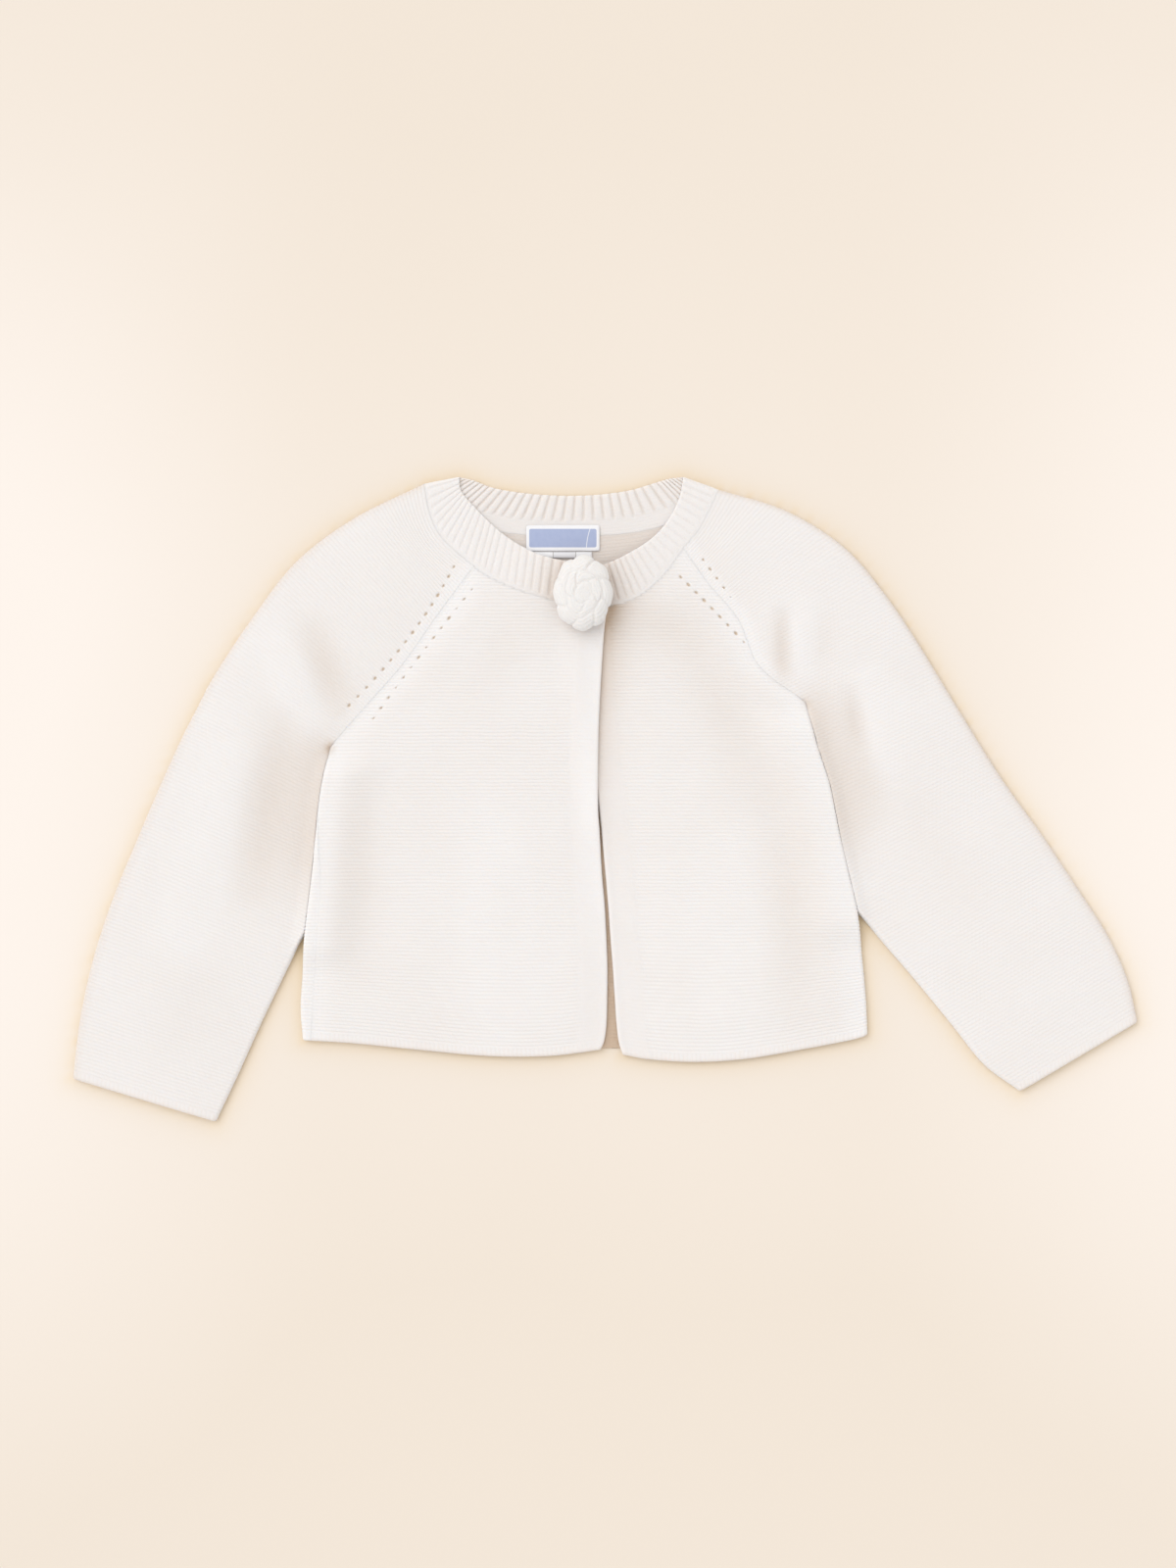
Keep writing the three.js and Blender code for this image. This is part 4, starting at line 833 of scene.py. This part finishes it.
def flower_points(settings):
    """A plump crocheted rosette: its points, faces and creases.

    Longitude a runs round and latitude b from the foot to the top. In plan the radius is the oval
    times cos(b)^0.7 and a slight swell for each petal, and the height goes as sin(b)^0.85. Soft creases
    set off an outer ring of petals, an inner ring and the bud, and fine ridges of yarn run round.
    """
    around, up = 288, 110
    cx, cy = FLOWER["centre"]
    foot, height, waist = FLOWER["foot"], FLOWER["height"], 4.2
    mean_radius = (FLOWER["half_width"] + FLOWER["half_length"]) / 2
    a = np.linspace(0, 2 * np.pi, around, endpoint=False)[None, :]
    b = np.linspace(-np.pi / 2, np.pi / 2, up + 2)[1:-1][:, None]
    r = np.cos(b) ** 0.7 + 0 * a
    outer_ring = 0.63 + 0.05 * np.sin(3 * a + 1)
    inner_ring = 0.29 + 0.03 * np.sin(2 * a)

    def between_petals(count, phase, swirl):
        """Distance along the ring to the nearest line between two petals."""
        turns = a * count / (2 * np.pi) + phase + swirl * (r - 0.5)
        return np.abs(turns - np.round(turns)) * 2 * np.pi * r * mean_radius / count

    outer = bell(between_petals(8, 0.1, 0.9), 0.9) * ease(outer_ring - 0.04, outer_ring + 0.06, r)
    inner = bell(between_petals(5, 0.35, 1.3), 0.8) * ease(inner_ring - 0.03, inner_ring + 0.05, r)
    inner = inner * (1 - ease(outer_ring - 0.05, outer_ring + 0.02, r))
    rings = bell((r - outer_ring) * mean_radius, 0.9) + bell((r - inner_ring) * mean_radius, 0.8)
    crease = np.clip(outer + inner + rings, 0, 1) * ease(-0.5, 0.0, b)
    crease = crease * (0.55 + 0.45 * value_noise(r * np.cos(a) * 40, r * np.sin(a) * 40, 13, 9))
    strands = np.abs(np.sin(np.pi * r * mean_radius / 1.7 + 1.6 * np.sin(4 * a))) - 0.5
    swell = 1 + 0.025 * np.cos(8 * a + 0.6) * r
    lift = settings.yarn_relief / MM * strands - settings.crease_depth / MM * crease
    level = np.sign(b) * np.abs(np.sin(b)) ** 0.85
    spread = r * swell * (1 + lift * r / mean_radius)
    x = cx + FLOWER["half_width"] * spread * np.cos(a)
    y = cy + FLOWER["half_length"] * spread * np.sin(a)
    z = foot + waist + np.where(b > 0, height - waist, waist) * level + lift * np.maximum(level, 0)
    points = np.vstack([np.stack([x, y, z], -1).reshape(-1, 3), [[cx, cy, foot], [cx, cy, foot + height]]])
    i, j = np.meshgrid(np.arange(up - 1), np.arange(around), indexing="ij")
    p, q = (i * around + j).ravel(), (i * around + (j + 1) % around).ravel()
    k = np.arange(around)
    south, north, top = up * around, up * around + 1, (up - 1) * around
    faces = np.vstack([
        np.stack([p, q, q + around], 1),
        np.stack([p, q + around, p + around], 1),
        np.stack([np.full(around, south), (k + 1) % around, k], 1),
        np.stack([np.full(around, north), top + k, top + (k + 1) % around], 1),
    ])
    return points, face_outward(points, faces), np.append(crease, [0, 0])


def tape_faces(box, columns, rows):
    """The two faces of a flat woven tape on the back's inside, with a soft wave and worn corners.

    Rows near the top and bottom edges are drawn in along a quarter circle.
    """
    (x0, y0), (x1, y1) = box["low"], box["high"]
    corner, bed = box["corner"], box["bed"]
    u, t = np.linspace(0, 1, columns)[None, :], np.linspace(0, 1, rows)[:, None]
    sag = 0.35 * np.sin(np.pi * u) * np.sin(np.pi * t) + 0.12 * value_noise(u * 40, t * 14, 9, 2)
    x, y = x0 + (x1 - x0) * u + 0 * t, y0 + (y1 - y0) * t + 0 * u
    into_corner = np.clip((np.abs(y - (y0 + y1) / 2) - (y1 - y0) / 2 + corner) / corner, 0, 1)
    drawn_in = 1 - corner * (1 - np.sqrt(1 - into_corner**2)) / ((x1 - x0) / 2)
    x = (x0 + x1) / 2 + (x - (x0 + x1) / 2) * drawn_in
    rim = np.minimum(np.minimum(x - x0, x1 - x), np.minimum(y - y0, y1 - y))
    drop = TAPE_THICKNESS * 0.45 * (1 - ease(0, 0.5, rim))
    up, down = bed + TAPE_THICKNESS - drop + sag, bed + drop * 0.5 + sag * 0.6
    return face_grids(x, y, up, x - x0, y - y0), face_grids(x, y, down, x - x0, y - y0)


# Materials

WHITE = (1, 1, 1, 1)
PAINTED_SHADING_TINT = (0.70, 0.56, 0.43, 1)  # what full painted shade multiplies the wool by
# painted shade in the eyelets: multiplies the wool's darker colour
PAINTED_HOLE_SHADE_TINT = (0.90, 0.82, 0.71, 1)
PAINTED_CONTACT_SHADOW_TINT = (0.98, 0.90, 0.74, 1)  # painted warm contact shadow of the wool on the paper beside it
EVEN_HOLLOW = 0.38  # mean hollow of the knit, which the plain front band keeps to
WEFT, WARP = 0.00042, 0.0003  # pitches of the tapes' weave, in metres
TAPE_WHITE, TAPE_DIM, TAPE_GREY = (0.86, 0.86, 0.88, 1), (0.72, 0.72, 0.76, 1), (0.62, 0.62, 0.66, 1)
TAPE_DARK = (0.3, 0.28, 0.26, 1)
LABEL_BORDER = (0.0017, 0.002)
TAB_LINES = (0.0127, 0.0247)  # two dark lines of thread across the tab


class Value:
    """A number or colour that changes over a surface: a shader socket that can be reckoned with."""

    def __init__(self, socket):
        self.socket = socket

    def __add__(self, other):
        return maths("ADD", self, other)

    def __sub__(self, other):
        return maths("SUBTRACT", self, other)

    def __rsub__(self, other):
        return maths("SUBTRACT", other, self)

    def __mul__(self, other):
        return maths("MULTIPLY", self, other)

    def __truediv__(self, other):
        return maths("DIVIDE", self, other)

    def __rtruediv__(self, other):
        return maths("DIVIDE", other, self)

    def __pow__(self, other):
        return maths("POWER", self, other)

    def __abs__(self):
        return maths("ABSOLUTE", self)


def node(tree, kind, values=(), **settings):
    """A node with its options set, and its inputs set to plain values or linked to the Values given."""
    made = tree.nodes.new(kind)
    for key, value in settings.items():
        setattr(made, key, value)
    for key, value in dict(values).items():
        if isinstance(value, Value):
            tree.links.new(value.socket, made.inputs[key])
        else:
            made.inputs[key].default_value = value
    return made


def result(tree, kind, values=(), output=0, **settings):
    return Value(node(tree, kind, values, **settings).outputs[output])


def maths(operation, *values):
    tree = next(value.socket.id_data for value in values if isinstance(value, Value))
    return result(tree, "ShaderNodeMath", enumerate(values), operation=operation)


def ramp(value, low, high, out_low=0.0, out_high=1.0):
    """Maps a value smoothly from one range to another."""
    values = {"Value": value, "From Min": low, "From Max": high, "To Min": out_low, "To Max": out_high}
    return result(value.socket.id_data, "ShaderNodeMapRange", values, interpolation_type="SMOOTHSTEP")


def blend(share, a, b, clamp=True):
    inputs = {0: share, 6: a, 7: b}
    return result(share.socket.id_data, "ShaderNodeMix", inputs, 2, data_type="RGBA", clamp_factor=clamp)


def tinted(colour, tint):
    values = {0: 1.0, 6: colour, 7: tint}
    return result(colour.socket.id_data, "ShaderNodeMix", values, 2, data_type="RGBA", blend_type="MULTIPLY")


def noise(place, scale, detail, **more):
    values = {"Vector": place, "Scale": scale, "Detail": detail, **more}
    return result(place.socket.id_data, "ShaderNodeTexNoise", values)


def wave(angle):
    return abs(maths("SINE", angle))


def object_place(tree):
    return result(tree, "ShaderNodeTexCoord", output="Object")


def cloth_uv(tree):
    return result(tree, "ShaderNodeUVMap", uv_map="cloth")


def mark_value(tree, name):
    return result(tree, "ShaderNodeAttribute", output="Fac", attribute_name=name, attribute_type="GEOMETRY")


def split(vector):
    parts = node(vector.socket.id_data, "ShaderNodeSeparateXYZ", {0: vector}).outputs
    return Value(parts[0]), Value(parts[1])


def fibre_effect(given):
    """Fibres: fine drawn-out noise and a soft cloud, for height and for a slight change of colour."""
    fuzz = noise(given["Position"], 1.0 / given["Fibre Size"], 3.0, Roughness=0.65, Distortion=0.6)
    return {"Fuzz": fuzz, "Cloud": noise(given["Position"], 26.0, 3.0, Roughness=0.5)}


def knit_effect(given):
    """Purl loops: beads along each ridge, set off by half a loop from row to row; ticks in the rim.

    UV is in metres: X along the row, Y up the rows. Height and Hollow go from 0 to 1.
    """
    along, up = split(given["UV"])
    row, loop = up / given["Ridge Pitch"], along / given["Loop Pitch"]
    offset = maths("MODULO", maths("FLOOR", row), 2.0) * 0.5
    bead = wave((loop + offset + given["Fuzz"] * 0.35) * math.pi) ** 0.7
    knit = (bead * 0.35 + 0.65) * wave(row * math.pi) ** 0.6
    height = knit * (1.0 - given["Rim"]) + wave(loop * math.pi) * given["Rim"]
    return {"Height": height, "Hollow": 1.0 - height}


def wool_effect(given):
    """Wool's colour: a pale yarn, painted shade that is darker and warmer in hollows, folds and holes, and a
    slight clouding.
    """
    uneven = (given["Cloud"] - 0.5) * 0.3 + (given["Fuzz"] - 0.5) * 0.25
    # painted shade in the hollows; the clouding draws on the same darker colour
    pale = blend(given["Hollow"] * 0.22 + uneven, given["Yarn"], given["Shade"])
    # painted shade and painted light of the shade mark
    pale = tinted(pale, blend(given["Fold"], WHITE, PAINTED_SHADING_TINT))
    # painted shade in the eyelets
    return {"Colour": blend(given["Hole"], pale, tinted(given["Shade"], PAINTED_HOLE_SHADE_TINT))}


# Each shared effect with its inputs' defaults: None for a vector, four numbers for a colour
EFFECTS = {
    "wool_fibre": (fibre_effect, {"Position": None, "Fibre Size": 0.0004}),
    "links_knit": (
        knit_effect, {"UV": None, "Ridge Pitch": 0.0019, "Loop Pitch": 0.0023, "Rim": 0.0, "Fuzz": 0.5},
    ),
    "wool_colour": (
        wool_effect,
        {
            "Yarn": (0.9, 0.87, 0.83, 1), "Shade": (0.8, 0.72, 0.63, 1),
            "Hollow": 0.0, "Hole": 0.0, "Fold": 0.0, "Cloud": 0.5, "Fuzz": 0.5,
        },
    ),
}
SOCKETS = {type(None): "NodeSocketVector", tuple: "NodeSocketColor", float: "NodeSocketFloat"}


def effect_group(name):
    """A shared node group with named inputs and outputs, made the first time that it is asked for."""
    if name in bpy.data.node_groups:
        return bpy.data.node_groups[name]
    work, inputs = EFFECTS[name]
    tree = bpy.data.node_groups.new(name, "ShaderNodeTree")
    for label, default in inputs.items():
        socket = tree.interface.new_socket(label, in_out="INPUT", socket_type=SOCKETS[type(default)])
        if default is not None:
            socket.default_value = default
    given = tree.nodes.new("NodeGroupInput").outputs
    made = work({label: Value(given[label]) for label in inputs})
    for label in made:
        kind = tuple if label == "Colour" else float
        tree.interface.new_socket(label, in_out="OUTPUT", socket_type=SOCKETS[kind])
    node(tree, "NodeGroupOutput", made)
    return tree


def effect(tree, name, values):
    made = node(tree, "ShaderNodeGroup", values, node_tree=effect_group(name))
    return {socket.name: Value(socket) for socket in made.outputs}


def blank_material(name):
    material = bpy.data.materials.new(name)
    material.use_nodes = True
    material.node_tree.nodes.clear()
    return material, material.node_tree


def join_shader(colour, height, distance, roughness=0.92, strength=0.45, sheen=0.0, scatter=0.0):
    """Joins a colour and a height to a Principled shader. Uniform numbers stay on its own sockets."""
    tree = colour.socket.id_data
    bump = result(tree, "ShaderNodeBump", {"Strength": strength, "Distance": distance, "Height": height})
    values = {
        "Base Color": colour, "Roughness": roughness, "Normal": bump, "Specular IOR Level": 0.15,
        "Subsurface Weight": scatter, "Subsurface Radius": (1.0, 0.9, 0.8), "Subsurface Scale": 0.0014,
        "Sheen Weight": sheen, "Sheen Roughness": 0.6,
    }
    node(tree, "ShaderNodeOutputMaterial", {0: result(tree, "ShaderNodeBsdfPrincipled", values)})


def wool_material(name, settings, yarn, fibre_size, relief, distance, sheen=0.2, scatter=0.55):
    """A woollen finish. relief gives the hollows, the height and the marks from the fibres' fuzz."""
    material, tree = blank_material(name)
    fibre = effect(tree, "wool_fibre", {"Position": object_place(tree), "Fibre Size": fibre_size})
    hollow, height, marks = relief(tree, fibre["Fuzz"])
    values = {"Yarn": (*yarn, 1), "Shade": (*settings.wool_shade, 1), "Hollow": hollow, **fibre, **marks}
    colour = effect(tree, "wool_colour", values)["Colour"]
    join_shader(colour, height, distance, sheen=sheen, scatter=scatter)
    return material


def knit_material(settings):
    """Fine links knit: ridges are in the mesh, loops and fibres in the bump; painted shade in hollows, folds
    and holes.
    """

    def relief(tree, fuzz):
        values = {"Ridge Pitch": settings.ridge_pitch, "Loop Pitch": settings.loop_pitch}
        stitches = {"UV": cloth_uv(tree), "Rim": mark_value(tree, "rim"), "Fuzz": fuzz, **values}
        knit = effect(tree, "links_knit", stitches)
        evened = mark_value(tree, "plain") * 0.6
        # painted shade in the hollows of the loops, kept even on the plain band
        hollow = knit["Hollow"] + (EVEN_HOLLOW - knit["Hollow"]) * evened
        hole = ramp(mark_value(tree, "eyelet"), 1.25, 0.5)
        height = knit["Height"] * (1.0 - evened) * 0.6 + fuzz * 0.4
        return hollow, height, {"Hole": hole, "Fold": mark_value(tree, "shade")}

    return wool_material("links_knit_wool", settings, settings.wool, 0.0006, relief, 0.0004)


def rib_material(settings):
    """One by one rib: ridges are in the mesh, small loops and fibres in the bump, grooves darker and warmer
    with painted shade.
    """

    def relief(tree, fuzz):
        values = {"Ridge Pitch": settings.ridge_pitch * 0.8, "Loop Pitch": settings.rib_pitch}
        knit = effect(tree, "links_knit", {"UV": cloth_uv(tree), "Fuzz": fuzz, **values})
        # painted shade in the rib grooves
        hollow = (1.0 - mark_value(tree, "ridge")) * 3.4 + knit["Hollow"] * 0.15
        return hollow, knit["Height"] * 0.4 + fuzz * 0.5, {"Fold": mark_value(tree, "shade")}

    return wool_material("ribbed_wool", settings, settings.wool, 0.0006, relief, 0.0005)


def crochet_material(settings):
    """Crochet yarn: a little whiter than the knit, with strands from the mesh, a soft fuzz and painted shade
    in the creases.
    """

    def relief(tree, fuzz):
        # painted shade in the creases
        return mark_value(tree, "crease") * 0.9, fuzz, {}

    return wool_material("crochet_wool", settings, settings.flower, 0.0005, relief, 0.0006, 0.3, 0.5)


def inside(value, low, high, soft=0.00012):
    """1 where a value lies between two limits, with soft edges."""
    return ramp(value, low - soft, low + soft) * ramp(value, high + soft, high - soft)


def rounded_box(x, y, low, high, radius):
    """1 inside a box with rounded corners, by the distance past the centres of its corners."""
    past = [
        maths("MAXIMUM", abs(value - (a + b) / 2) - ((b - a) / 2 - radius), 0.0)
        for value, a, b in ((x, low[0], high[0]), (y, low[1], high[1]))
    ]
    away = maths("SQRT", past[0] * past[0] + past[1] * past[1])
    return ramp(away, radius + 0.00012, radius - 0.00012)


def tape_material(name, width, height, settings, field):
    """Woven satin tape: a fine weave; field says whether it has the pale blue field and the thread line."""
    material, tree = blank_material(name)
    uv = cloth_uv(tree)
    across, up = split(uv)
    weave = maths("SINE", up * (2 * math.pi / WEFT)) * maths("SINE", across * (2 * math.pi / WARP))
    rough = noise(uv, 420.0, 2.0)
    colour = blend(weave * 0.12 + rough * 0.3, TAPE_WHITE, TAPE_DIM)
    if field:
        pale = tuple(0.9 * c + 0.1 for c in settings.label_blue) + (1,)
        woven = blend(weave * 0.2 + rough, (*settings.label_blue, 1), pale)
        far_corner = (width - LABEL_BORDER[0], height - LABEL_BORDER[1])
        colour = blend(rounded_box(across, up, LABEL_BORDER, far_corner, 0.001), colour, woven)
        thread = inside(across - up**2.0 * 14.0, width - 0.0073, width - 0.0069)
        colour = blend(thread * 0.8, colour, TAPE_WHITE)
    else:
        for line in TAB_LINES:
            colour = blend(inside(across, line - 0.0002, line + 0.0002) * 0.75, colour, TAPE_DARK)
        colour = blend(inside(across, 0.013, 0.0244) * 0.35, colour, TAPE_GREY)
    join_shader(colour, weave, 0.0001, roughness=0.45, strength=0.3)
    return material


def outline_points():
    """Points along the outline, a few millimetres apart: of the sleeves and neck, and of the body below."""
    t = np.linspace(0, 1, 60)
    above, below = [neck_edge["back"](t)], []
    for side, sections in SLEEVES.items():
        above.append(curve_through([row[0] for row in sections])(t))
        above.append(curve_through([row[1] for row in sections[8:]])(t))
        above.append(curve_through([sections[-1][0], sections[-1][1]])(t))
        above.append(curve_through([sections[0][0], NECK_EDGES[side][0]])(t))
        below.append(curve_through([row[1::-1] for row in SIDES[side][4:]])(t))
        below.append(curve_through(HEMS[side])(t))
    return np.vstack(above), np.vstack(below)


def floor_mesh():
    """A wide floor with a fine middle, where the mark "near", for the painted contact shadow, fades within
    some 10 mm of the outline.

    The body and the sleeves each add to it, so it is strongest between them, below the armpits.
    """
    rim = 1600.0
    x = np.concatenate([[-rim], np.arange(-340, 341, 4.0), [rim]])
    y = np.concatenate([[-rim], np.arange(-240, 241, 4.0), [rim]])
    points = np.stack([*np.meshgrid(x, y), np.zeros((len(y), len(x)))], -1)
    flat = points[..., :2].reshape(-1, 2)
    near = np.zeros(len(flat))
    for line in outline_points():
        away = np.full(len(flat), 1e3)
        for spot in line:
            away = np.minimum(away, np.hypot(*(flat - spot).T))
        near = near + np.exp(-away / 4.5)
    mesh = bpy.data.meshes.new("floor")
    faces = grid_faces(len(y), len(x))
    mesh.from_pydata((points.reshape(-1, 3) * MM).tolist(), [], faces.tolist())
    mesh.attributes.new("near", "FLOAT", "POINT").data.foreach_set("value", near.astype(np.float32))
    return mesh


def floor_material(settings):
    """Pale cream paper: an even colour with a faint grain; painted light makes it lighter to the left, the
    right and the middle.
    """
    material, tree = blank_material("cream_paper")
    place = object_place(tree)
    x, y = split(place)
    far_up = abs(y)
    aside = ramp(abs(x), 0.12, 0.34) * ramp(far_up, 0.5, 0.05, 0.25, 1.0)
    uneven = (noise(place, 3.0, 2.0) - 0.5) * 0.4
    # painted light: lighter across the middle and to the left and right
    painted_light = ramp(far_up, 0.42, 0.1) * 0.3 + aside * 0.75
    # darker towards the bottom, where the painted light falls off
    share = painted_light + uneven - ramp(y, 0.0, -0.45) * 0.25
    colour = blend(share, (*settings.floor, 1), (*settings.floor_mottle_and_painted_light, 1))
    # painted warm contact shadow beside the wool
    colour = tinted(colour, blend(mark_value(tree, "near"), WHITE, PAINTED_CONTACT_SHADOW_TINT, clamp=False))
    join_shader(colour, noise(place, 900.0, 2.0), 0.0002, roughness=0.8, strength=0.15)
    return material


# The add-on


def length_property(name, description, default):
    limits = {"min": 0.0, "max": 0.02, "precision": 5}
    return FloatProperty(name=name, description=description, default=default, unit="LENGTH", **limits)


def colour_property(name, description, default):
    limits = {"min": 0.0, "max": 1.0, "size": 3}
    return FloatVectorProperty(name=name, description=description, default=default, subtype="COLOR", **limits)


class CardiganSettings(bpy.types.PropertyGroup):
    """Sizes and colours of the cardigan that a user would change."""

    ridge_pitch: length_property("Ridge pitch", "Distance between two purl ridges", 0.0019)
    ridge_depth: length_property("Ridge depth", "Depth of the grooves between purl ridges", 0.00026)
    loop_pitch: length_property("Loop pitch", "Width of one knitted loop", 0.0023)
    waviness: length_property("Row waviness", "How far a row of knit strays from its line", 0.00025)
    slack: length_property("Slack", "Height of the soft unevenness of the laid cloth", 0.0005)
    eyelet_depth: length_property("Eyelet depth", "Depth of the eyelets beside the raglan seams", 0.0012)
    rib_pitch: length_property("Rib pitch", "Width of one rib and groove of the neckband", 0.0042)
    rib_relief: length_property("Rib relief", "Height of the neckband's ribs", 0.00055)
    yarn_relief: length_property("Yarn relief", "Height of the flower's strands of yarn", 0.00028)
    crease_depth: length_property("Crease depth", "Depth of the creases between the flower's petals", 0.001)
    wool: colour_property("Wool", "Colour of the yarn", (0.815, 0.8, 0.8))
    # the wool's darker colour: painted shade in hollows, grooves and eyelets, and the dark end of the
    # clouding
    wool_shade: colour_property("Wool shade", "Colour of the yarn in hollows", (0.74, 0.68, 0.63))
    flower: colour_property("Flower", "Colour of the crochet flower", (0.80, 0.785, 0.775))
    label_blue: colour_property("Label blue", "Colour of the woven label's field", (0.36, 0.42, 0.62))
    floor: colour_property("Floor", "Colour of the floor", (0.766, 0.688, 0.603))
    # the floor's lighter colour: painted light on its sides and middle, and the light end of its mottle
    floor_mottle_and_painted_light: colour_property(
        "Floor, lighter", "Colour of the floor's lighter sides", (0.849, 0.788, 0.738)
    )
    light: FloatProperty(
        name="Light", description="Strength of the wide soft light from the upper left", default=1.1, min=0.0,
    )
    camera_height: FloatProperty(
        name="Camera height", description="Height of the camera over the floor",
        default=1.7, min=0.5, max=5.0, unit="LENGTH",
    )


def get_settings():
    return bpy.context.scene.cardigan


def finish_piece(piece, node_name, material):
    """Gives a piece its material and hides the solid that it replaces."""
    piece.data.materials.append(material)
    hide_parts(node_name)


def knit_wall(name, make_face, *side):
    """Makes the wall of one knitted panel from its outer and its inner face."""
    settings = get_settings()
    wool = bpy.data.materials.get("links_knit_wool") or knit_material(settings)
    faces = [make_face(*side, settings, inner) for inner in (False, True)]
    finish_piece(make_wall(name + "_cloth", *faces), name, wool)


class CARDIGAN_OT_body(bpy.types.Operator):
    """Knits the back and the two fronts"""

    bl_idname = "cardigan.body"
    bl_label = "Body Panels"

    def execute(self, context):
        knit_wall("back", back_face)
        for side in SLEEVES:
            knit_wall("front_" + side, front_face, side)
        return {"FINISHED"}


class CARDIGAN_OT_sleeves(bpy.types.Operator):
    """Knits the two raglan sleeves as flattened tubes"""

    bl_idname = "cardigan.sleeves"
    bl_label = "Sleeves"

    def execute(self, context):
        for side in SLEEVES:
            knit_wall("sleeve_" + side, sleeve_face, side)
        return {"FINISHED"}


class CARDIGAN_OT_neckband(bpy.types.Operator):
    """Knits the ribbed neckband that runs round the whole neck"""

    bl_idname = "cardigan.neckband"
    bl_label = "Neckband"

    def execute(self, context):
        settings = get_settings()
        faces = [neckband_face(settings, inner) for inner in (False, True)]
        finish_piece(make_wall("neckband_cloth", *faces), "neckband", rib_material(settings))
        return {"FINISHED"}


class CARDIGAN_OT_flower(bpy.types.Operator):
    """Crochets the flower button of soft petals"""

    bl_idname = "cardigan.flower"
    bl_label = "Flower Button"

    def execute(self, context):
        points, faces, crease = flower_points(get_settings())
        flower = make_piece("flower_button_crochet", points, faces, marks={"crease": crease})
        finish_piece(flower, "flower_button", crochet_material(get_settings()))
        return {"FINISHED"}


class CARDIGAN_OT_tapes(bpy.types.Operator):
    """Weaves the neck label and the size tab, both without words"""

    bl_idname = "cardigan.tapes"
    bl_label = "Label and Tab"

    def execute(self, context):
        for name, slot, box in (("neck_label", "woven_label", LABEL), ("size_tab", "satin_tab", SIZE_TAB)):
            size = [(high - low) * MM for low, high in zip(box["low"], box["high"])]
            piece = make_wall(name + "_tape", *tape_faces(box, 81, 41))
            weave = tape_material(slot + "_tape", *size, get_settings(), box is LABEL)
            finish_piece(piece, name, weave)
        return {"FINISHED"}


class CARDIGAN_OT_cuts(bpy.types.Operator):
    """A step that does nothing"""

    bl_idname = "cardigan.cuts"
    bl_label = "Cloth Cuts"

    def execute(self, context):
        return {"FINISHED"}


class CARDIGAN_OT_stage(bpy.types.Operator):
    """Lays the pale floor and sets the soft light and the camera straight above"""

    bl_idname = "cardigan.stage"
    bl_label = "Floor, Light and Camera"

    def execute(self, context):
        settings, scene = get_settings(), context.scene
        floor = bpy.data.objects.new("floor", floor_mesh())
        scene.collection.objects.link(floor)
        floor.data.materials.append(floor_material(settings))
        floor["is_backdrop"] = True

        lamp = bpy.data.lights.new("wide_soft_light", "SUN")
        lamp.energy = settings.light
        lamp.angle = math.radians(50)
        light = bpy.data.objects.new("wide_soft_light", lamp)
        light.location = (-1.2, 0.9, 2.2)
        light.rotation_mode = "QUATERNION"
        light.rotation_quaternion = (-light.location).to_track_quat("-Z", "Y")
        scene.collection.objects.link(light)

        world = bpy.data.worlds.new("pale_room")
        world.use_nodes = True
        background = world.node_tree.nodes["Background"]
        background.inputs[0].default_value = (1.0, 0.985, 0.965, 1)
        background.inputs[1].default_value = 0.885
        scene.world = world

        lens = bpy.data.cameras.new("camera")
        lens.sensor_fit = "VERTICAL"
        lens.sensor_height = 36.0
        lens.lens = lens.sensor_height * settings.camera_height / PHOTO_HEIGHT
        camera = bpy.data.objects.new("camera", lens)
        camera.location = (*PHOTO_CENTRE, settings.camera_height)
        scene.collection.objects.link(camera)
        scene.camera = camera
        scene.view_settings.view_transform = "Standard"
        return {"FINISHED"}


class CARDIGAN_PT_panel(bpy.types.Panel):
    """Lists the cardigan's steps and settings"""

    bl_idname = "CARDIGAN_PT_panel"
    bl_label = "Baby Cardigan"
    bl_space_type = "VIEW_3D"
    bl_region_type = "UI"
    bl_category = "Cardigan"

    def draw(self, context):
        for step in STEPS:
            self.layout.operator(step.bl_idname)
        for name in CardiganSettings.__annotations__:
            self.layout.prop(context.scene.cardigan, name)


STEPS = (
    CARDIGAN_OT_stage,
    CARDIGAN_OT_body,
    CARDIGAN_OT_sleeves,
    CARDIGAN_OT_neckband,
    CARDIGAN_OT_flower,
    CARDIGAN_OT_tapes,
    CARDIGAN_OT_cuts,
)


def register():
    for made in (CardiganSettings, *STEPS, CARDIGAN_PT_panel):
        bpy.utils.register_class(made)
    bpy.types.Scene.cardigan = PointerProperty(type=CardiganSettings)


def unregister():
    del bpy.types.Scene.cardigan
    for made in (CARDIGAN_PT_panel, *reversed(STEPS), CardiganSettings):
        bpy.utils.unregister_class(made)


def main():
    register()
    solid_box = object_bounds()
    for step in STEPS:
        category, name = step.bl_idname.split(".")
        getattr(getattr(bpy.ops, category), name)()
    seen_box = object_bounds()
    boxes = {"cad": [list(corner) for corner in solid_box], "visual": [list(corner) for corner in seen_box]}


if __name__ == "__main__":
    main()
